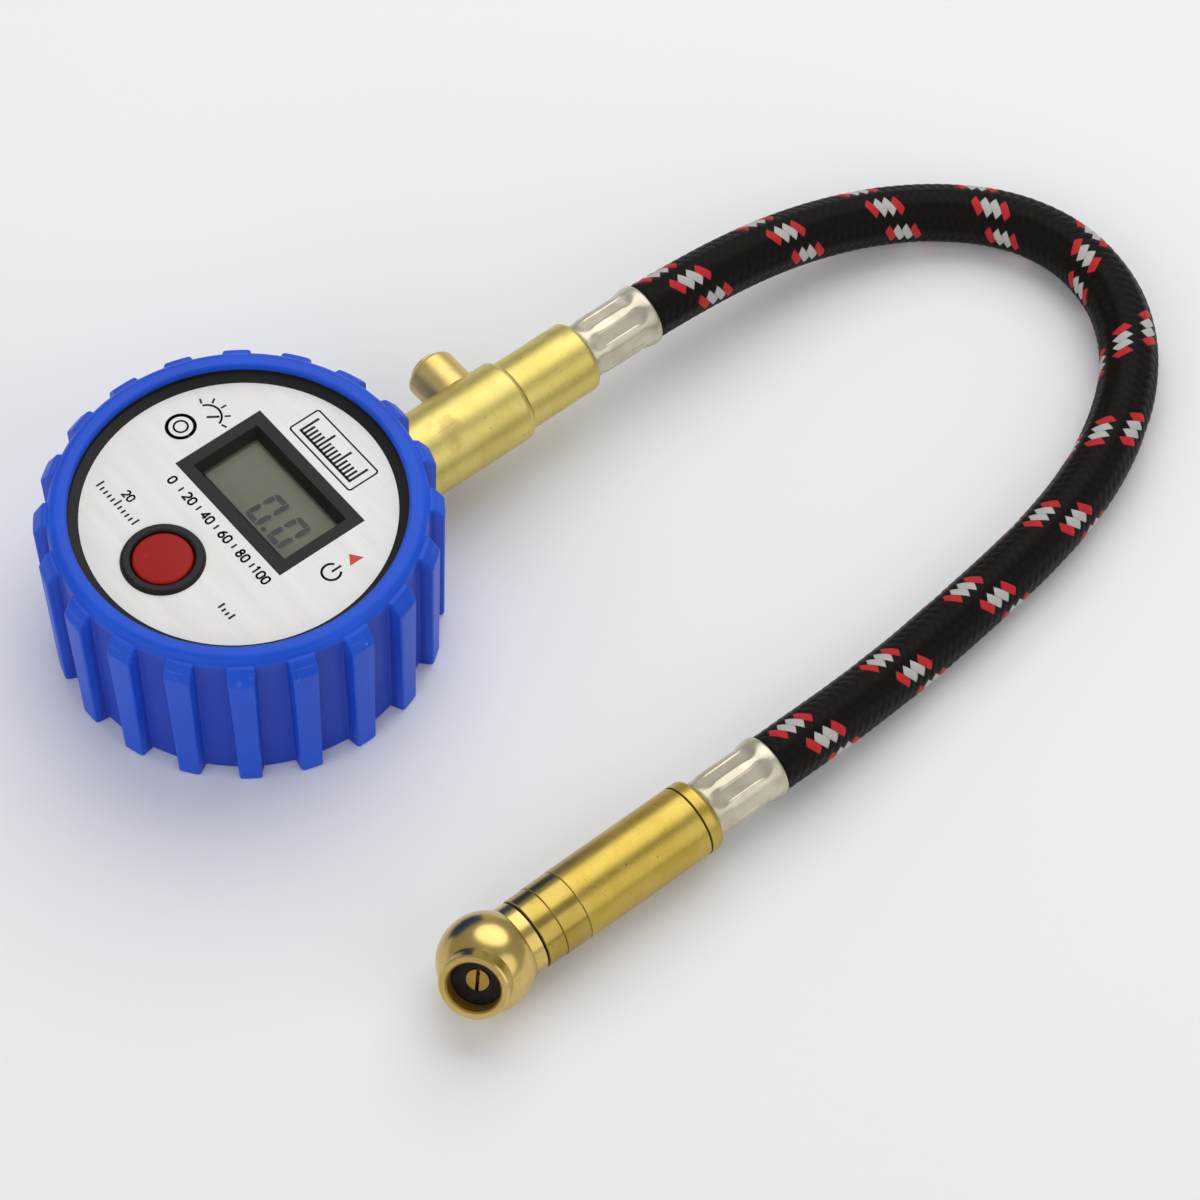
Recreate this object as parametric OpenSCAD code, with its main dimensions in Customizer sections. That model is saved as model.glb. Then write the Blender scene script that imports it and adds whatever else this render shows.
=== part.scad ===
// Hand-held digital tyre pressure gauge: a round display head in a ribbed rubber boot, a turned
// brass valve body with a side bleed button, a short braided hose with crimped ferrules, and a
// 45 degree swivel chuck. Millimetres, +Z up. The origin is the centre of the boot's base on the
// table, +Y runs along the brass body away from the head, and +X is the reading direction.

/* [Boot] */
// Thickness of the boot's wall
boot_wall = 2.3; // [1.5:0.1:4]
// Thickness of the boot's base
boot_base_t = 3.5; // [1.5:0.1:4]
// Width of the ledge of the boot's base under the case
boot_ledge = 3; // [2.5:0.5:8]
// Height of the lip that hooks over the case
boot_lip_t = 1.2; // [1:0.1:2.5]
// Width by which the lip covers the rim of the case
boot_lip_cover = 0.8; // [0.6:0.1:1.6]
// Number of grip ribs round the boot
rib_count = 20; // [12:1:28]
// How far a rib stands out of the wall
rib_h = 2.3; // [1.8:0.1:3.5]
// Width of a rib at its root
rib_root_w = 4.2; // [3:0.1:5]
// Width of a rib at its crest
rib_crest_w = 3.3; // [2:0.1:4]
// How far the boot draws in from its shoulder down to its foot
boot_draft = 0.7; // [0:0.1:1]

/* [Case] */
// Outside diameter of the case
case_d = 56; // [56:0.5:66]
// Height of the case from its back to its rim
case_h = 27.2; // [26.7:0.1:33]
// Thickness of the case's side wall
case_wall = 2; // [1.6:0.1:2.4]
// Thickness of the case's back
case_back_t = 2; // [1.8:0.1:2.6]
// Thickness of the deck under the face plate
deck_t = 1.8; // [1.5:0.1:2.2]
// Diameter of the case screws' threads
screw_d = 2.2; // [1.8:0.1:2.6]

/* [Face] */
// Width of the case's rim round the face plate
rim_w = 2.4; // [2:0.1:4]
// Thickness of the face plate
plate_t = 0.6; // [0.4:0.1:1]
// Width of the display frame
frame_w = 27.7; // [25:0.1:30]
// Height of the display frame
frame_h = 16.7; // [15:0.1:18]
// Width of the frame's flat face
frame_rim = 2; // [0.5:0.1:2.4]
// Distance of the display's centre above the dial's centre
frame_up = 6.1; // [5:0.1:6.5]
// Width of the display's visible window
window_w = 21.6; // [18:0.1:22]
// Height of the display's visible window
window_h = 10.6; // [9:0.1:12]
// Thickness of the clear window
window_t = 0.6; // [0.4:0.1:0.8]

/* [Power button] */
// Diameter of the red button
button_d = 9.8; // [8:0.1:10.6]
// Height of the button's dome
button_crown = 0.25; // [0.1:0.05:0.6]
// Outside diameter of the collar round the button
collar_d = 13.5; // [12.6:0.1:15]
// Height of the collar above the face plate
collar_h = 0.7; // [0.4:0.1:1.2]
// Distance of the button's centre from the lower edge of the face plate
button_in = 10.6; // [9.5:0.1:11.5]
// Travel of the button
button_travel = 0.8; // [0.4:0.1:0.9]

/* [Batteries] */
// Diameter of a cell
cell_d = 10.5; // [10:0.1:10.8]
// Length of a cell over its contact nub
cell_l = 44.5; // [42:0.1:45]

/* [Brass body] */
// Diameter of the valve body
body_d = 14.6; // [14:0.1:16]
// Length of the valve body outside the case
body_l = 28.1; // [26:0.1:32]
// Diameter of the threaded spigot inside the case
spigot_d = 12; // [11:0.1:12.5]
// Diameter of the hose adaptor
adaptor_d = 12.7; // [11.5:0.1:13.5]
// Length of the hose adaptor
adaptor_l = 14.5; // [12:0.1:18]
// Diameter of the air passage
air_d = 3; // [2:0.1:3.4]

/* [Bleed valve] */
// Diameter of the bleed valve's housing
bleed_d = 9.1; // [8:0.1:9.6]
// Length of the bleed valve's housing
bleed_l = 7.3; // [6.5:0.1:9]
// Diameter of the bleed button
bleed_button_d = 6.4; // [5.8:0.1:6.8]
// How far the bleed button stands out of its housing
bleed_proud = 1; // [0.6:0.1:1.8]
// Travel of the bleed button
bleed_travel = 1.2; // [0.6:0.1:1.6]

/* [Hose] */
// Outside diameter of the hose
hose_d = 10; // [9:0.1:10.2]
// Bore of the hose
hose_bore = 5.8; // [5.4:0.1:6.4]
// Outside diameter of a ferrule
ferrule_d = 10.4; // [10.3:0.1:11.6]
// Length of a ferrule
ferrule_l = 14; // [12:0.1:18]

/* [Chuck] */
// Diameter of the chuck's barrel
barrel_d = 12.5; // [12.2:0.1:14]
// Length of the plain barrel
barrel_l = 24.3; // [22:0.1:30]
// Wall of the barrel
barrel_wall = 1.15; // [0.9:0.05:1.4]
// Length of the collar at the hose end
tail_l = 2.6; // [2:0.1:4]
// Length of the swivel collar
swivel_l = 4.7; // [3:0.1:6]
// Length of the gland ring
gland_l = 3.6; // [2.5:0.1:5]
// Diameter of the ball-shaped head
ball_d = 16; // [15:0.1:17]
// Angle between the barrel and the mouth
head_angle = 45; // [30:5:60]
// Resting turn of the head about the barrel
head_turn = 45; // [0:1:90]
// Outside diameter of the mouth
mouth_d = 11.3; // [11:0.1:12.5]
// Bore of the mouth, which goes over a tyre valve
mouth_bore = 8.6; // [8.2:0.1:9]
// Distance of the mouth's face from the ball's centre
mouth_reach = 8.3; // [8:0.1:10]
// Depth of the mouth down to the rubber washer
mouth_depth = 2.8; // [2:0.1:3.2]
// Thickness of the rubber washer
washer_t = 2; // [1.5:0.1:2.2]
// Diameter of the depressor pin
pin_d = 3.7; // [3:0.1:4]

/* [Hidden] */

$fn = 96;
over = 1;          // how far a cutting shape runs past what it cuts
sliver = 0.01;     // overlap of shapes that are one piece
small_fn = 24;     // sides of small round things

// Clearances
slip = 0.1;        // radial gap of a piece that slides or drops in
press = 0.05;      // radial gap of a piece that is screwed or pressed in
boot_gap = 0.2;    // gap between the boot and what it grips
screw_gap = 0.2;   // radial gap of a screw in a through hole
seal_gap = 0.02;   // gap round a rubber ring in its groove

// Heights, from the table up
case_z = boot_base_t;
case_top = case_z + case_h;
boot_top = case_top + boot_lip_t;
floor_z = case_z + case_back_t;
spigot_lift = 1.5;
stem_z = floor_z + spigot_lift + spigot_d / 2;
plate_inset = 1.35;
plate_top = case_top - plate_inset;
deck_top = plate_top - plate_t;
deck_z = deck_top - deck_t;
lcd_t = 2.2;
lcd_z = deck_z - lcd_t;
strip_h = 2.45;
board_t = 1.6;
board_top = lcd_z - strip_h;
board_z = board_top - board_t;
split_rise = 0.2;
split_z = board_top + split_rise;

// Boot
boot_in = case_d / 2 + boot_gap;
boot_window_r = case_d / 2 - boot_ledge;
boot_r = boot_in + boot_wall;
boot_foot = 0.8;
boot_shoulder_r = 1.8;
boot_bead_r = 0.5;
lip_r = case_d / 2 - boot_lip_cover;
rib_crest_r = boot_r + rib_h;
rib_round = 0.5;
rib_foot = 0.6;
rib_ramp = 1.6;
rib_ramp_h = 2.4;
rib_ramp_z = case_top - rib_ramp_h;
rib_lean = atan(boot_draft / (rib_ramp_z - rib_foot));

// Case
case_r = case_d / 2;
case_in = case_r - case_wall;
plate_d = case_d - 2 * (rim_w + slip);
rim_step = 0.7;     // height of the rim's upright step inside the boot's lip
rim_step_r = lip_r - slip;
case_foot = 0.8;
rim_edge = 0.3;
tongue_t = 0.8;
tongue_h = 1.2;
tongue_in = case_in - tongue_t;
inset = 0.5;

// Case screws and their bosses
screw_angles = [55, 125, 235, 305];
screw_from_wall = 3.4;
screw_circle = case_in - screw_from_wall;
boss_wall = 1.9;
boss_r = screw_d / 2 + boss_wall;
screw_head_rim = 1;
screw_head_r = screw_d / 2 + screw_head_rim;
screw_head_h = 1.4;
screw_pad = 0.4;
screw_seat = floor_z + screw_pad;
screw_bite = 3.2;
screw_hole_l = 3.6;
thread_gap = 0.02;
cross_l = 2.4;
cross_w = 0.5;
cross_depth = 0.7;

// Display
window_ledge = 0.8;
lcd_extra_w = 6;
lcd_extra_h = 5;
lcd_step = 2;
strip_w = 1.8;
strip_out = 1.3;

// Power button and its switch
button_down = plate_d / 2 - button_in;
flange_w = 1.4;
flange_t = 0.8;
button_stem_r = 2;
button_hole_gap = 0.2;
button_round = 0.5;
button_rise = 0.1;
button_rim_z = plate_top + button_rise;
button_stem_l = 1.45;
button_seat = deck_z - button_stem_l;
plunger_r = 1.5;
plunger_l = 2;
switch_w = 6;
switch_h = 2.1;
collar_round = 0.6;
collar_inner_round = 0.5;

// Circuit board
board_gap = 0.3;
chip_w = 8;
chip_t = 1.2;
part_d = 3;
part_t = 1.4;
part_x = 12;
block_x = [-16, -12, 12, 16];
block_y = -14;
block_w = 1.6;
block_l = 3.2;
block_t = 0.8;

// Brass body, along Y
flat_depth = 1;
shoulder_y = case_r - flat_depth;
spigot_l = 13;
spigot_y = shoulder_y - spigot_l;
boss_depth = 4.5;
boss_in_y = shoulder_y - boss_depth;
boss_side = 3;
boss_roof = 0.6;
nut_t = 3;
nut_wall = 1;
nut_r = spigot_d / 2 + nut_wall;
nut_slot_w = 1.5;
nut_slot_depth = 1;
seam_y = shoulder_y + body_l;
brass_end = seam_y + adaptor_l;
adaptor_spigot_l = 4.2;
adaptor_spigot_r = 5;
bore_extra = 0.25;
turned_edge = 1.2;
adaptor_edge = 0.9;
turned_chamfer = 0.2;
fine_chamfer = 0.05;

// Pressure sensor
sensor_flange_t = 2;
sensor_flange_r = 5.6;
sensor_can_r = 4;
sensor_can_l = 1.6;
sensor_ring = 0.6;
sensor_back = spigot_y - sensor_flange_t;
sensor_room = 1.2;
sensor_pin_r = 0.25;
sensor_pin_in = 1;
sensor_pin_x = [-2, 0, 2];

// Battery box
box_wall = 1.2;
contact_t = 0.4;
contact_w = 8.5;
contact_tab_w = 2;
contact_tab_out = 1.6;
contact_slot_gap = 0.3;
spring_room = 1.5;
spring_wire_r = 0.28;
spring_wide_r = 3.4;
spring_narrow_r = 2;
spring_root = 0.1;
cell_gap = 0.25;
cell_rest = 0.1;
nub_l = 0.8;
nub_r = 1.9;
cavity_l = cell_l + spring_room + 2 * contact_t;
cavity_w = 2 * cell_d + 4 * cell_gap;
cavity_y = sensor_back - sensor_room - box_wall - cavity_w / 2;
cover_t = 1.2;
cover_ledge = 0.6;
cover_corner = 1.5;
cover_z = case_z + cover_t;
cell_z = cover_z + cell_rest + cell_d / 2;
cell_headroom = 0.5;
cavity_top = cell_z + cell_d / 2 + cell_headroom;
cell_y = [for (side = [-1, 1]) cavity_y + side * (cell_d / 2 + cell_gap)];
grip_l = 6;
grip_w = 0.8;
grip_depth = 0.5;
grip_pitch = 1.6;
grip_in = 4;

// Bleed valve, along -X from the valve body
bleed_from_seam = 7.1;
bleed_y = seam_y - bleed_from_seam;
bleed_seat_x = 5.8;
bleed_thread_r = 3;
bleed_thread_l = 3;
bleed_in = bleed_seat_x - bleed_thread_l;
bleed_out = bleed_seat_x + bleed_l;
bleed_cap_in = 0.5;
bleed_cap_x = bleed_out - bleed_cap_in;
bleed_spring_l = 5;
bleed_spring_r = 2;
bleed_wire_r = 0.25;
bleed_floor = bleed_cap_x - bleed_spring_l;
bleed_rim = 1.1;
bleed_rim_t = 0.6;
bleed_round = 0.8;
bleed_button_round = 0.5;
bleed_stem_r = 0.8;
bleed_stem_set = 0.9;
bleed_hole_r = 1.2;
bleed_head_r = 2.2;
bleed_head_t = 0.8;
bleed_head_x = bleed_in - 2 * bleed_head_t;
bleed_chamber_r = 2.6;
bleed_chamber_room = 1.4;
bleed_chamber_end = bleed_travel - bleed_head_x + bleed_chamber_room;

// Hose ends, barbs and ferrules
crimp_squeeze = 0.8;
crimp_d = hose_d - crimp_squeeze;
crimp_gap = 0.12;
crimp_in = crimp_d / 2 + crimp_gap;
crimp_wall = 0.32;
crimp_count = 8;
ferrule_lip = 0.8;
ferrule_neck_step = 0.2;
ferrule_neck_r = ferrule_d / 2 - ferrule_neck_step;
ferrule_neck_l = 2.6;
ferrule_round = 0.5;
neck_rise = 0.8;
flare_step = 0.25;
flare_r = ferrule_d / 2 + flare_step;
flare_l = 2;
flare_rise = 0.5;
flare_edge = 0.2;
flare_cup = 0.7;
flare_gap = 0.1;
hose_set = 1.2;
barb_root_r = 3.1;
barb_root_l = ferrule_lip + 0.1;
barb_gap = 0.15;
barb_slack = 0.2;
barb_r = hose_bore / 2 - barb_slack;
barb_step = 0.45;
barb_start = 2.4;
barb_l = ferrule_l - 1.5;
barb_count = 3;

// Chuck, along +Y from the ball's centre
ball_r = ball_d / 2;
swivel_gap = 0.3;
neck_step = 0.25;
gland_step = 0.15;
swivel_step = 0.05;
neck_r = barrel_d / 2 - neck_step;
gland_r = barrel_d / 2 - gland_step;
swivel_r = barrel_d / 2 - swivel_step;
neck_end = 7.3;
gland_at = neck_end + swivel_gap;
swivel_at = gland_at + gland_l;
barrel_at = swivel_at + swivel_l;
tail_at = barrel_at + barrel_l;
tail_end = tail_at + tail_l;
barrel_bore_r = barrel_d / 2 - barrel_wall;
barrel_edge = 0.15;
nose_r = barrel_bore_r - press;
swivel_nose_l = 4.9;
tail_nose_l = 5.2;
shank_r = 3.5;
shank_run = 0.05;
gland_run = 0.25;
gland_nose_wall = 1;
gland_nose_r = shank_r + gland_nose_wall;
gland_nose_l = 0.9;
gland_edge = 0.25;
clip_t = 0.7;
clip_gap = 0.1;
clip_depth = 0.4;
clip_side = 0.3;
clip_mouth = 3;
clip_at = barrel_at + swivel_nose_l + clip_gap;
shank_past_clip = 1.8;
shank_end = clip_at + clip_t + shank_past_clip;
seal_wire = 0.6;
seal_groove_l = 0.8;
swivel_seal_at = barrel_at + swivel_nose_l / 2;
chuck_air_r = air_d / 2 - 0.3;
chuck_well = 0.4;
washer_top = mouth_reach - mouth_depth;
washer_z = washer_top - washer_t;
washer_grip = 0.3;
washer_play = 0.3;
washer_hole_gap = 0.1;
mouth_edge = 0.25;
pin_proud = 0.25;
pin_root = 2.2;
slot_w = 0.6;
slot_depth = 1.8;
slot_turn = -32;

// Rest height of the hose, and where its free part lies, from the mouth of the gauge's ferrule.
// Each point is x, y and the share of the drop down to the table that is still to come.
hose_lift = 0.1;
lie_z = hose_d / 2 + hose_lift;
leave_route = [
    [0, 2.4, 1], [0.2, 9.4, 0.97], [0.3, 17.3, 0.86], [0.7, 25.1, 0.72], [1.5, 32.8, 0.55],
    [2.9, 40.5, 0.36], [5.1, 47.8, 0.2], [8.3, 54.5, 0.08]
];
lie_route = [
    [12.3, 60.3, 0], [17.4, 65, 0], [23.4, 68.5, 0], [30.2, 70.5, 0], [37.6, 70.5, 0],
    [45.2, 68.5, 0], [52.4, 64.3, 0], [58.5, 58.5, 0], [63.4, 51.7, 0], [67.3, 44.3, 0],
    [70.2, 36.8, 0], [72.3, 29.2, 0], [73.8, 21.7, 0], [74.9, 14.3, 0], [75.8, 7, 0],
    [76.6, -0.3, 0]
];
arrive_route = [
    [77.4, -7.5, 0.04], [78, -14.9, 0.2], [78.7, -22.3, 0.5], [79.2, -29.7, 0.84],
    [79.4, -36.9, 1]
];
chuck_x = 79.4;
chuck_back = 39.6;
mouth_y = brass_end + ferrule_l;
chuck_y = mouth_y - chuck_back - ferrule_l - tail_end;
chuck_z = ball_r;
grip_run = 0.5;
grip_share = [hose_set, ferrule_l / 2, ferrule_l - grip_run];
gauge_end = [for (d = grip_share) [0, brass_end + d, stem_z]];
chuck_end = [for (i = [2:-1:0]) [chuck_x, chuck_y + tail_end + grip_share[i], chuck_z]];
route = concat(
    gauge_end,
    [for (p = leave_route) [p[0], mouth_y + p[1], lie_z + p[2] * (stem_z - lie_z)]],
    [for (p = lie_route) [p[0], mouth_y + p[1], lie_z]],
    [for (p = arrive_route) [p[0], mouth_y + p[1], lie_z + p[2] * (chuck_z - lie_z)]],
    chuck_end
);
hose_sides = 12;

// ---------------------------------------------------------------- shared shapes

// Points along part of a circle, for the rounded corners of turned profiles
function arc(cx, cy, r, a0, a1, steps = 6) =
    [for (i = [0:steps]) let (a = a0 + (a1 - a0) * i / steps) [cx + r * cos(a), cy + r * sin(a)]];

// A rectangle with round corners, centred
module rounded_rect(w, l, r) {
    square([w - 2 * r, l], center = true);
    square([w, l - 2 * r], center = true);
    for (x = [-1, 1], y = [-1, 1])
        translate([x * (w / 2 - r), y * (l / 2 - r)]) circle(r);
}

// Places children with their +Z along the brass body, at distance y along it
module along_stem(y = 0) {
    translate([0, y, stem_z]) rotate([-90, 0, 0]) children();
}

// Places children with their +Z out of the bleed valve, at distance x from the body's axis
module along_bleed(x = 0) {
    translate([-x, bleed_y, stem_z]) rotate([0, -90, 0]) children();
}

// Places children with their +Z along the chuck, from the ball's centre towards the hose
module along_chuck(z = 0) {
    translate([chuck_x, chuck_y + z, chuck_z]) rotate([-90, 0, 0]) children();
}

// Places children with their +Z out of the mouth, from the ball's centre
module along_mouth(z = 0) {
    along_chuck() rotate([0, 0, -head_turn]) rotate([0, 180 - head_angle, 0])
        translate([0, 0, z]) children();
}

// Places children at each case screw
module at_screws(z) {
    for (a = screw_angles)
        translate([screw_circle * cos(a), screw_circle * sin(a), z]) children();
}

// A rubber ring of round section
module seal_ring(mid_r, wire_r) {
    rotate_extrude() translate([mid_r, 0]) circle(wire_r - seal_gap, $fn = small_fn);
}

// A groove cut round a shaft of radius r, to the given depth
module groove(r, depth, l) {
    difference() {
        cylinder(r = r + over, h = l);
        translate([0, 0, -over]) cylinder(r = r - depth, h = l + 2 * over);
    }
}

// A turned bar with a rounded far edge and a chamfered near edge
module turned_bar(r, l, round_r = turned_edge, chamfer = turned_chamfer) {
    rotate_extrude()
        polygon(concat([[0, 0], [r - chamfer, 0], [r, chamfer]],
                       arc(r - round_r, l - round_r, round_r, 0, 90), [[0, l]]));
}

// Faces that join rings of points into a tube's side
function ring_faces(rings, sides, flip, start) =
    [for (i = [0:rings - 2], j = [0:sides - 1], half = [0, 1])
        let (a = start + i * sides + j,
             b = start + i * sides + (j + 1) % sides,
             c = b + sides,
             d = a + sides,
             tri = half == 0 ? [a, b, c] : [a, c, d])
        flip ? [tri[2], tri[1], tri[0]] : tri];

// Direction of a route at point i
function heading(path, i) =
    let (d = path[min(i + 1, len(path) - 1)] - path[max(i - 1, 0)]) d / norm(d);

// One ring of points square to a route, with its first axis kept level
function ring_points(path, i, r, sides) =
    let (t = heading(path, i),
         level = cross([0, 0, 1], t),
         u = level / norm(level),
         v = cross(t, u))
    [for (j = [0:sides - 1]) path[i] + r * cos(360 * j / sides) * u + r * sin(360 * j / sides) * v];

// A hollow tube swept along a route, narrower on its first and last few rings
module hollow_tube(path, r, r_in, r_end, end_rings, sides) {
    n = len(path);
    outer = [for (i = [0:n - 1]) each
        ring_points(path, i, i < end_rings || i >= n - end_rings ? r_end : r, sides)];
    inner = [for (i = [0:n - 1]) each ring_points(path, i, r_in, sides)];
    half = n * sides;
    last = half - sides;
    ends = [for (j = [0:sides - 1])
        let (k = (j + 1) % sides)
        each [[j, half + k, half + j], [j, k, half + k],
              [last + j, half + last + k, last + k], [last + j, half + last + j, half + last + k]]];
    polyhedron(concat(outer, inner),
               concat(ring_faces(n, sides, true, 0), ring_faces(n, sides, false, half), ends));
}

// A coil spring along +Z, with its radius going from r0 to r1
module coil(turns, r0, r1, length, wire_r, steps = 14, sides = 6) {
    n = turns * steps;
    path = [for (i = [0:n])
        let (a = 360 * i / steps, s = i / n, r = r0 + (r1 - r0) * s)
        [r * cos(a), r * sin(a), wire_r + (length - 2 * wire_r) * s]];
    points = [for (i = [0:n]) each ring_points(path, i, wire_r, sides)];
    last = n * sides;
    cap0 = [for (j = [0:sides - 1]) j];
    cap1 = [for (j = [sides - 1:-1:0]) last + j];
    polyhedron(points, concat(ring_faces(n + 1, sides, true, 0), [cap0, cap1]));
}

// Hose barb along +Z from the brass face: a root, a stem and sawtooth ridges
module barb() {
    ridge_l = (barb_l - barb_start) / barb_count;
    stem_r = barb_r - barb_step;
    rise = 0.2;
    ridges = [for (i = [0:barb_count - 1])
        let (z = barb_start + i * ridge_l)
        each [[stem_r, z], [barb_r, z + rise], [stem_r, z + ridge_l - sliver]]];
    rotate_extrude()
        polygon(concat([[0, -sliver], [barb_root_r, -sliver], [barb_root_r, barb_root_l],
                        [stem_r, barb_root_l]], ridges, [[stem_r, barb_l], [0, barb_l]]));
}

// Crimped sleeve over a hose end: a neck at the brass, crimp flats, and a flare at the hose
module ferrule() {
    r = ferrule_d / 2;
    flat_r = crimp_in + crimp_wall;
    flare_at = ferrule_l - flare_l;
    difference() {
        intersection() {
            rotate_extrude()
                polygon(concat([[0, 0]],
                               arc(ferrule_neck_r - ferrule_round, ferrule_round, ferrule_round,
                                   -90, 0, 4),
                               [[ferrule_neck_r, ferrule_neck_l - neck_rise], [r, ferrule_neck_l],
                                [r, flare_at - flare_rise], [flare_r, flare_at + flare_rise]],
                               arc(flare_r - flare_edge, ferrule_l - flare_edge, flare_edge,
                                   0, 90, 4),
                               [[0, ferrule_l]]));
            union() {
                rotate([0, 0, 180 / crimp_count])
                    cylinder(r = flat_r / cos(180 / crimp_count), h = flare_at, $fn = crimp_count);
                cylinder(r = flare_r + over, h = ferrule_neck_l - neck_rise / 2);
                translate([0, 0, flare_at - 2 * flare_rise])
                    cylinder(r = flare_r + over, h = ferrule_l);
            }
        }
        translate([0, 0, -over]) cylinder(r = barb_root_r + barb_gap, h = ferrule_l);
        translate([0, 0, ferrule_lip]) cylinder(r = crimp_in, h = ferrule_l);
        translate([0, 0, ferrule_l - flare_cup])
            cylinder(r = hose_d / 2 + flare_gap, h = ferrule_l);
    }
}

// ---------------------------------------------------------------- boot

module rib() {
    root = boot_in + boot_wall / 2;
    half_w = rib_crest_w / 2;
    crest_round_r = rib_crest_r - rib_round;
    intersection() {
        translate([0, 0, rib_ramp_z]) rotate([0, rib_lean, 0])
            translate([0, 0, -rib_ramp_z - over]) linear_extrude(case_top + 2 * over)
                polygon(concat([[root, -rib_root_w / 2]],
                               arc(crest_round_r, rib_round - half_w, rib_round, -80, 0, 4),
                               arc(crest_round_r, half_w - rib_round, rib_round, 0, 80, 4),
                               [[root, rib_root_w / 2]]));
        rotate([90, 0, 0]) translate([0, 0, -rib_root_w])
            linear_extrude(2 * rib_root_w)
                polygon([[0, 0], [rib_crest_r - boot_draft - rib_round, 0],
                         [rib_crest_r - boot_draft, rib_foot], [rib_crest_r, rib_ramp_z],
                         [rib_crest_r - rib_ramp, case_top], [0, case_top]]);
    }
}

module rubber_boot() {
    shoulder = boot_shoulder_r;
    bead = boot_bead_r;
    color("royalblue") difference() {
        union() {
            rotate_extrude()
                polygon(concat([[boot_window_r, 0], [boot_r - boot_draft - boot_foot, 0],
                                [boot_r - boot_draft, boot_foot]],
                               arc(boot_r - shoulder, boot_top - shoulder, shoulder, 0, 90, 8),
                               arc(lip_r + bead, boot_top - bead, bead, 90, 180, 4),
                               [[lip_r, case_top], [boot_in, case_top], [boot_in, case_z],
                                [boot_window_r, case_z]]));
            for (i = [0:rib_count - 1]) rotate([0, 0, i * 360 / rib_count]) rib();
        }
        along_stem(case_in) cylinder(d = body_d + 2 * boot_gap, h = rib_crest_r);
    }
}

// ---------------------------------------------------------------- case

// Centre of a contact's tab, beside the line between the two cells
function contact_tab_y(k) = cavity_y + (k == 0 ? -1 : 1) * (contact_tab_out + cell_gap);

module cover_outline(gap = 0) {
    translate([0, cavity_y])
        rounded_rect(cavity_l + 2 * (cover_ledge - gap), cavity_w + 2 * (cover_ledge - gap),
                     cover_corner);
}

// Slots in the battery box's roof for the four contact tabs
module contact_slots() {
    slot_l = contact_t + contact_slot_gap;
    slot_across = contact_tab_w + 2 * contact_slot_gap;
    for (side = [-1, 1], k = [0, 1])
        translate([side * (cavity_l - slot_l) / 2, contact_tab_y(k), cavity_top])
            cube([slot_l, slot_across, 2 * box_wall + over], center = true);
}

// Everything that stands on the inside of the case's back
module back_blocks() {
    box_l = cavity_l + 2 * box_wall;
    box_w = cavity_w + 2 * box_wall;
    stem_boss_w = spigot_d + 2 * boss_side;
    intersection() {
        union() {
            translate([-box_l / 2, cavity_y - box_w / 2, 0])
                cube([box_l, box_w, cavity_top + box_wall]);
            translate([-stem_boss_w / 2, boss_in_y, 0])
                cube([stem_boss_w, case_d, board_z - boss_roof]);
            at_screws(0) cylinder(r = boss_r, h = board_z);
        }
        translate([0, 0, floor_z - over]) cylinder(r = case_r - inset, h = case_h);
    }
}

module case_back() {
    color("dimgray") difference() {
        union() {
            rotate_extrude()
                polygon([[0, case_z], [case_r - case_foot, case_z], [case_r, case_z + case_foot],
                         [case_r, split_z], [case_in, split_z], [case_in, floor_z],
                         [0, floor_z]]);
            back_blocks();
        }
        translate([-cavity_l / 2, cavity_y - cavity_w / 2, cover_z])
            cube([cavity_l, cavity_w, cavity_top - cover_z]);
        translate([0, 0, case_z - over]) linear_extrude(cover_t + over) cover_outline();
        contact_slots();
        translate([-case_r, shoulder_y, 0]) cube([case_d, case_d, case_top]);
        along_stem(boss_in_y - over) cylinder(d = spigot_d + 2 * slip, h = case_r);
        at_screws(0) cylinder(r = screw_head_r + screw_gap, h = screw_seat);
        at_screws(0) cylinder(r = screw_d / 2 + screw_gap, h = case_top);
        translate([0, 0, split_z - tongue_h - slip]) cylinder(r = case_in + slip, h = case_h);
    }
}

// Raised ring round the power button, rounded on both sides
module button_collar() {
    r = collar_d / 2;
    hole_r = button_d / 2 + button_hole_gap;
    top = plate_top + collar_h;
    edge = min(collar_round, collar_h);
    inner = min(collar_inner_round, collar_h);
    translate([0, -button_down, 0]) rotate_extrude()
        polygon(concat([[hole_r - over, deck_z + sliver], [r, deck_z + sliver]],
                       arc(r - edge, top - edge, edge, 0, 90, 5),
                       arc(hole_r + inner, top - inner, inner, 90, 180, 5),
                       [[hole_r - over, top - inner]]));
}

// Sloping sides of the display opening, wide at the face plate and narrow at the window
module display_funnel() {
    translate([0, frame_up, 0]) {
        hull() {
            translate([0, 0, plate_top])
                cube([frame_w - 2 * frame_rim, frame_h - 2 * frame_rim, sliver], center = true);
            translate([0, 0, deck_z + window_t])
                cube([window_w, window_h, sliver], center = true);
        }
        translate([-window_w / 2, -window_h / 2, deck_z - over])
            cube([window_w, window_h, window_t + over + sliver]);
    }
}

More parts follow.
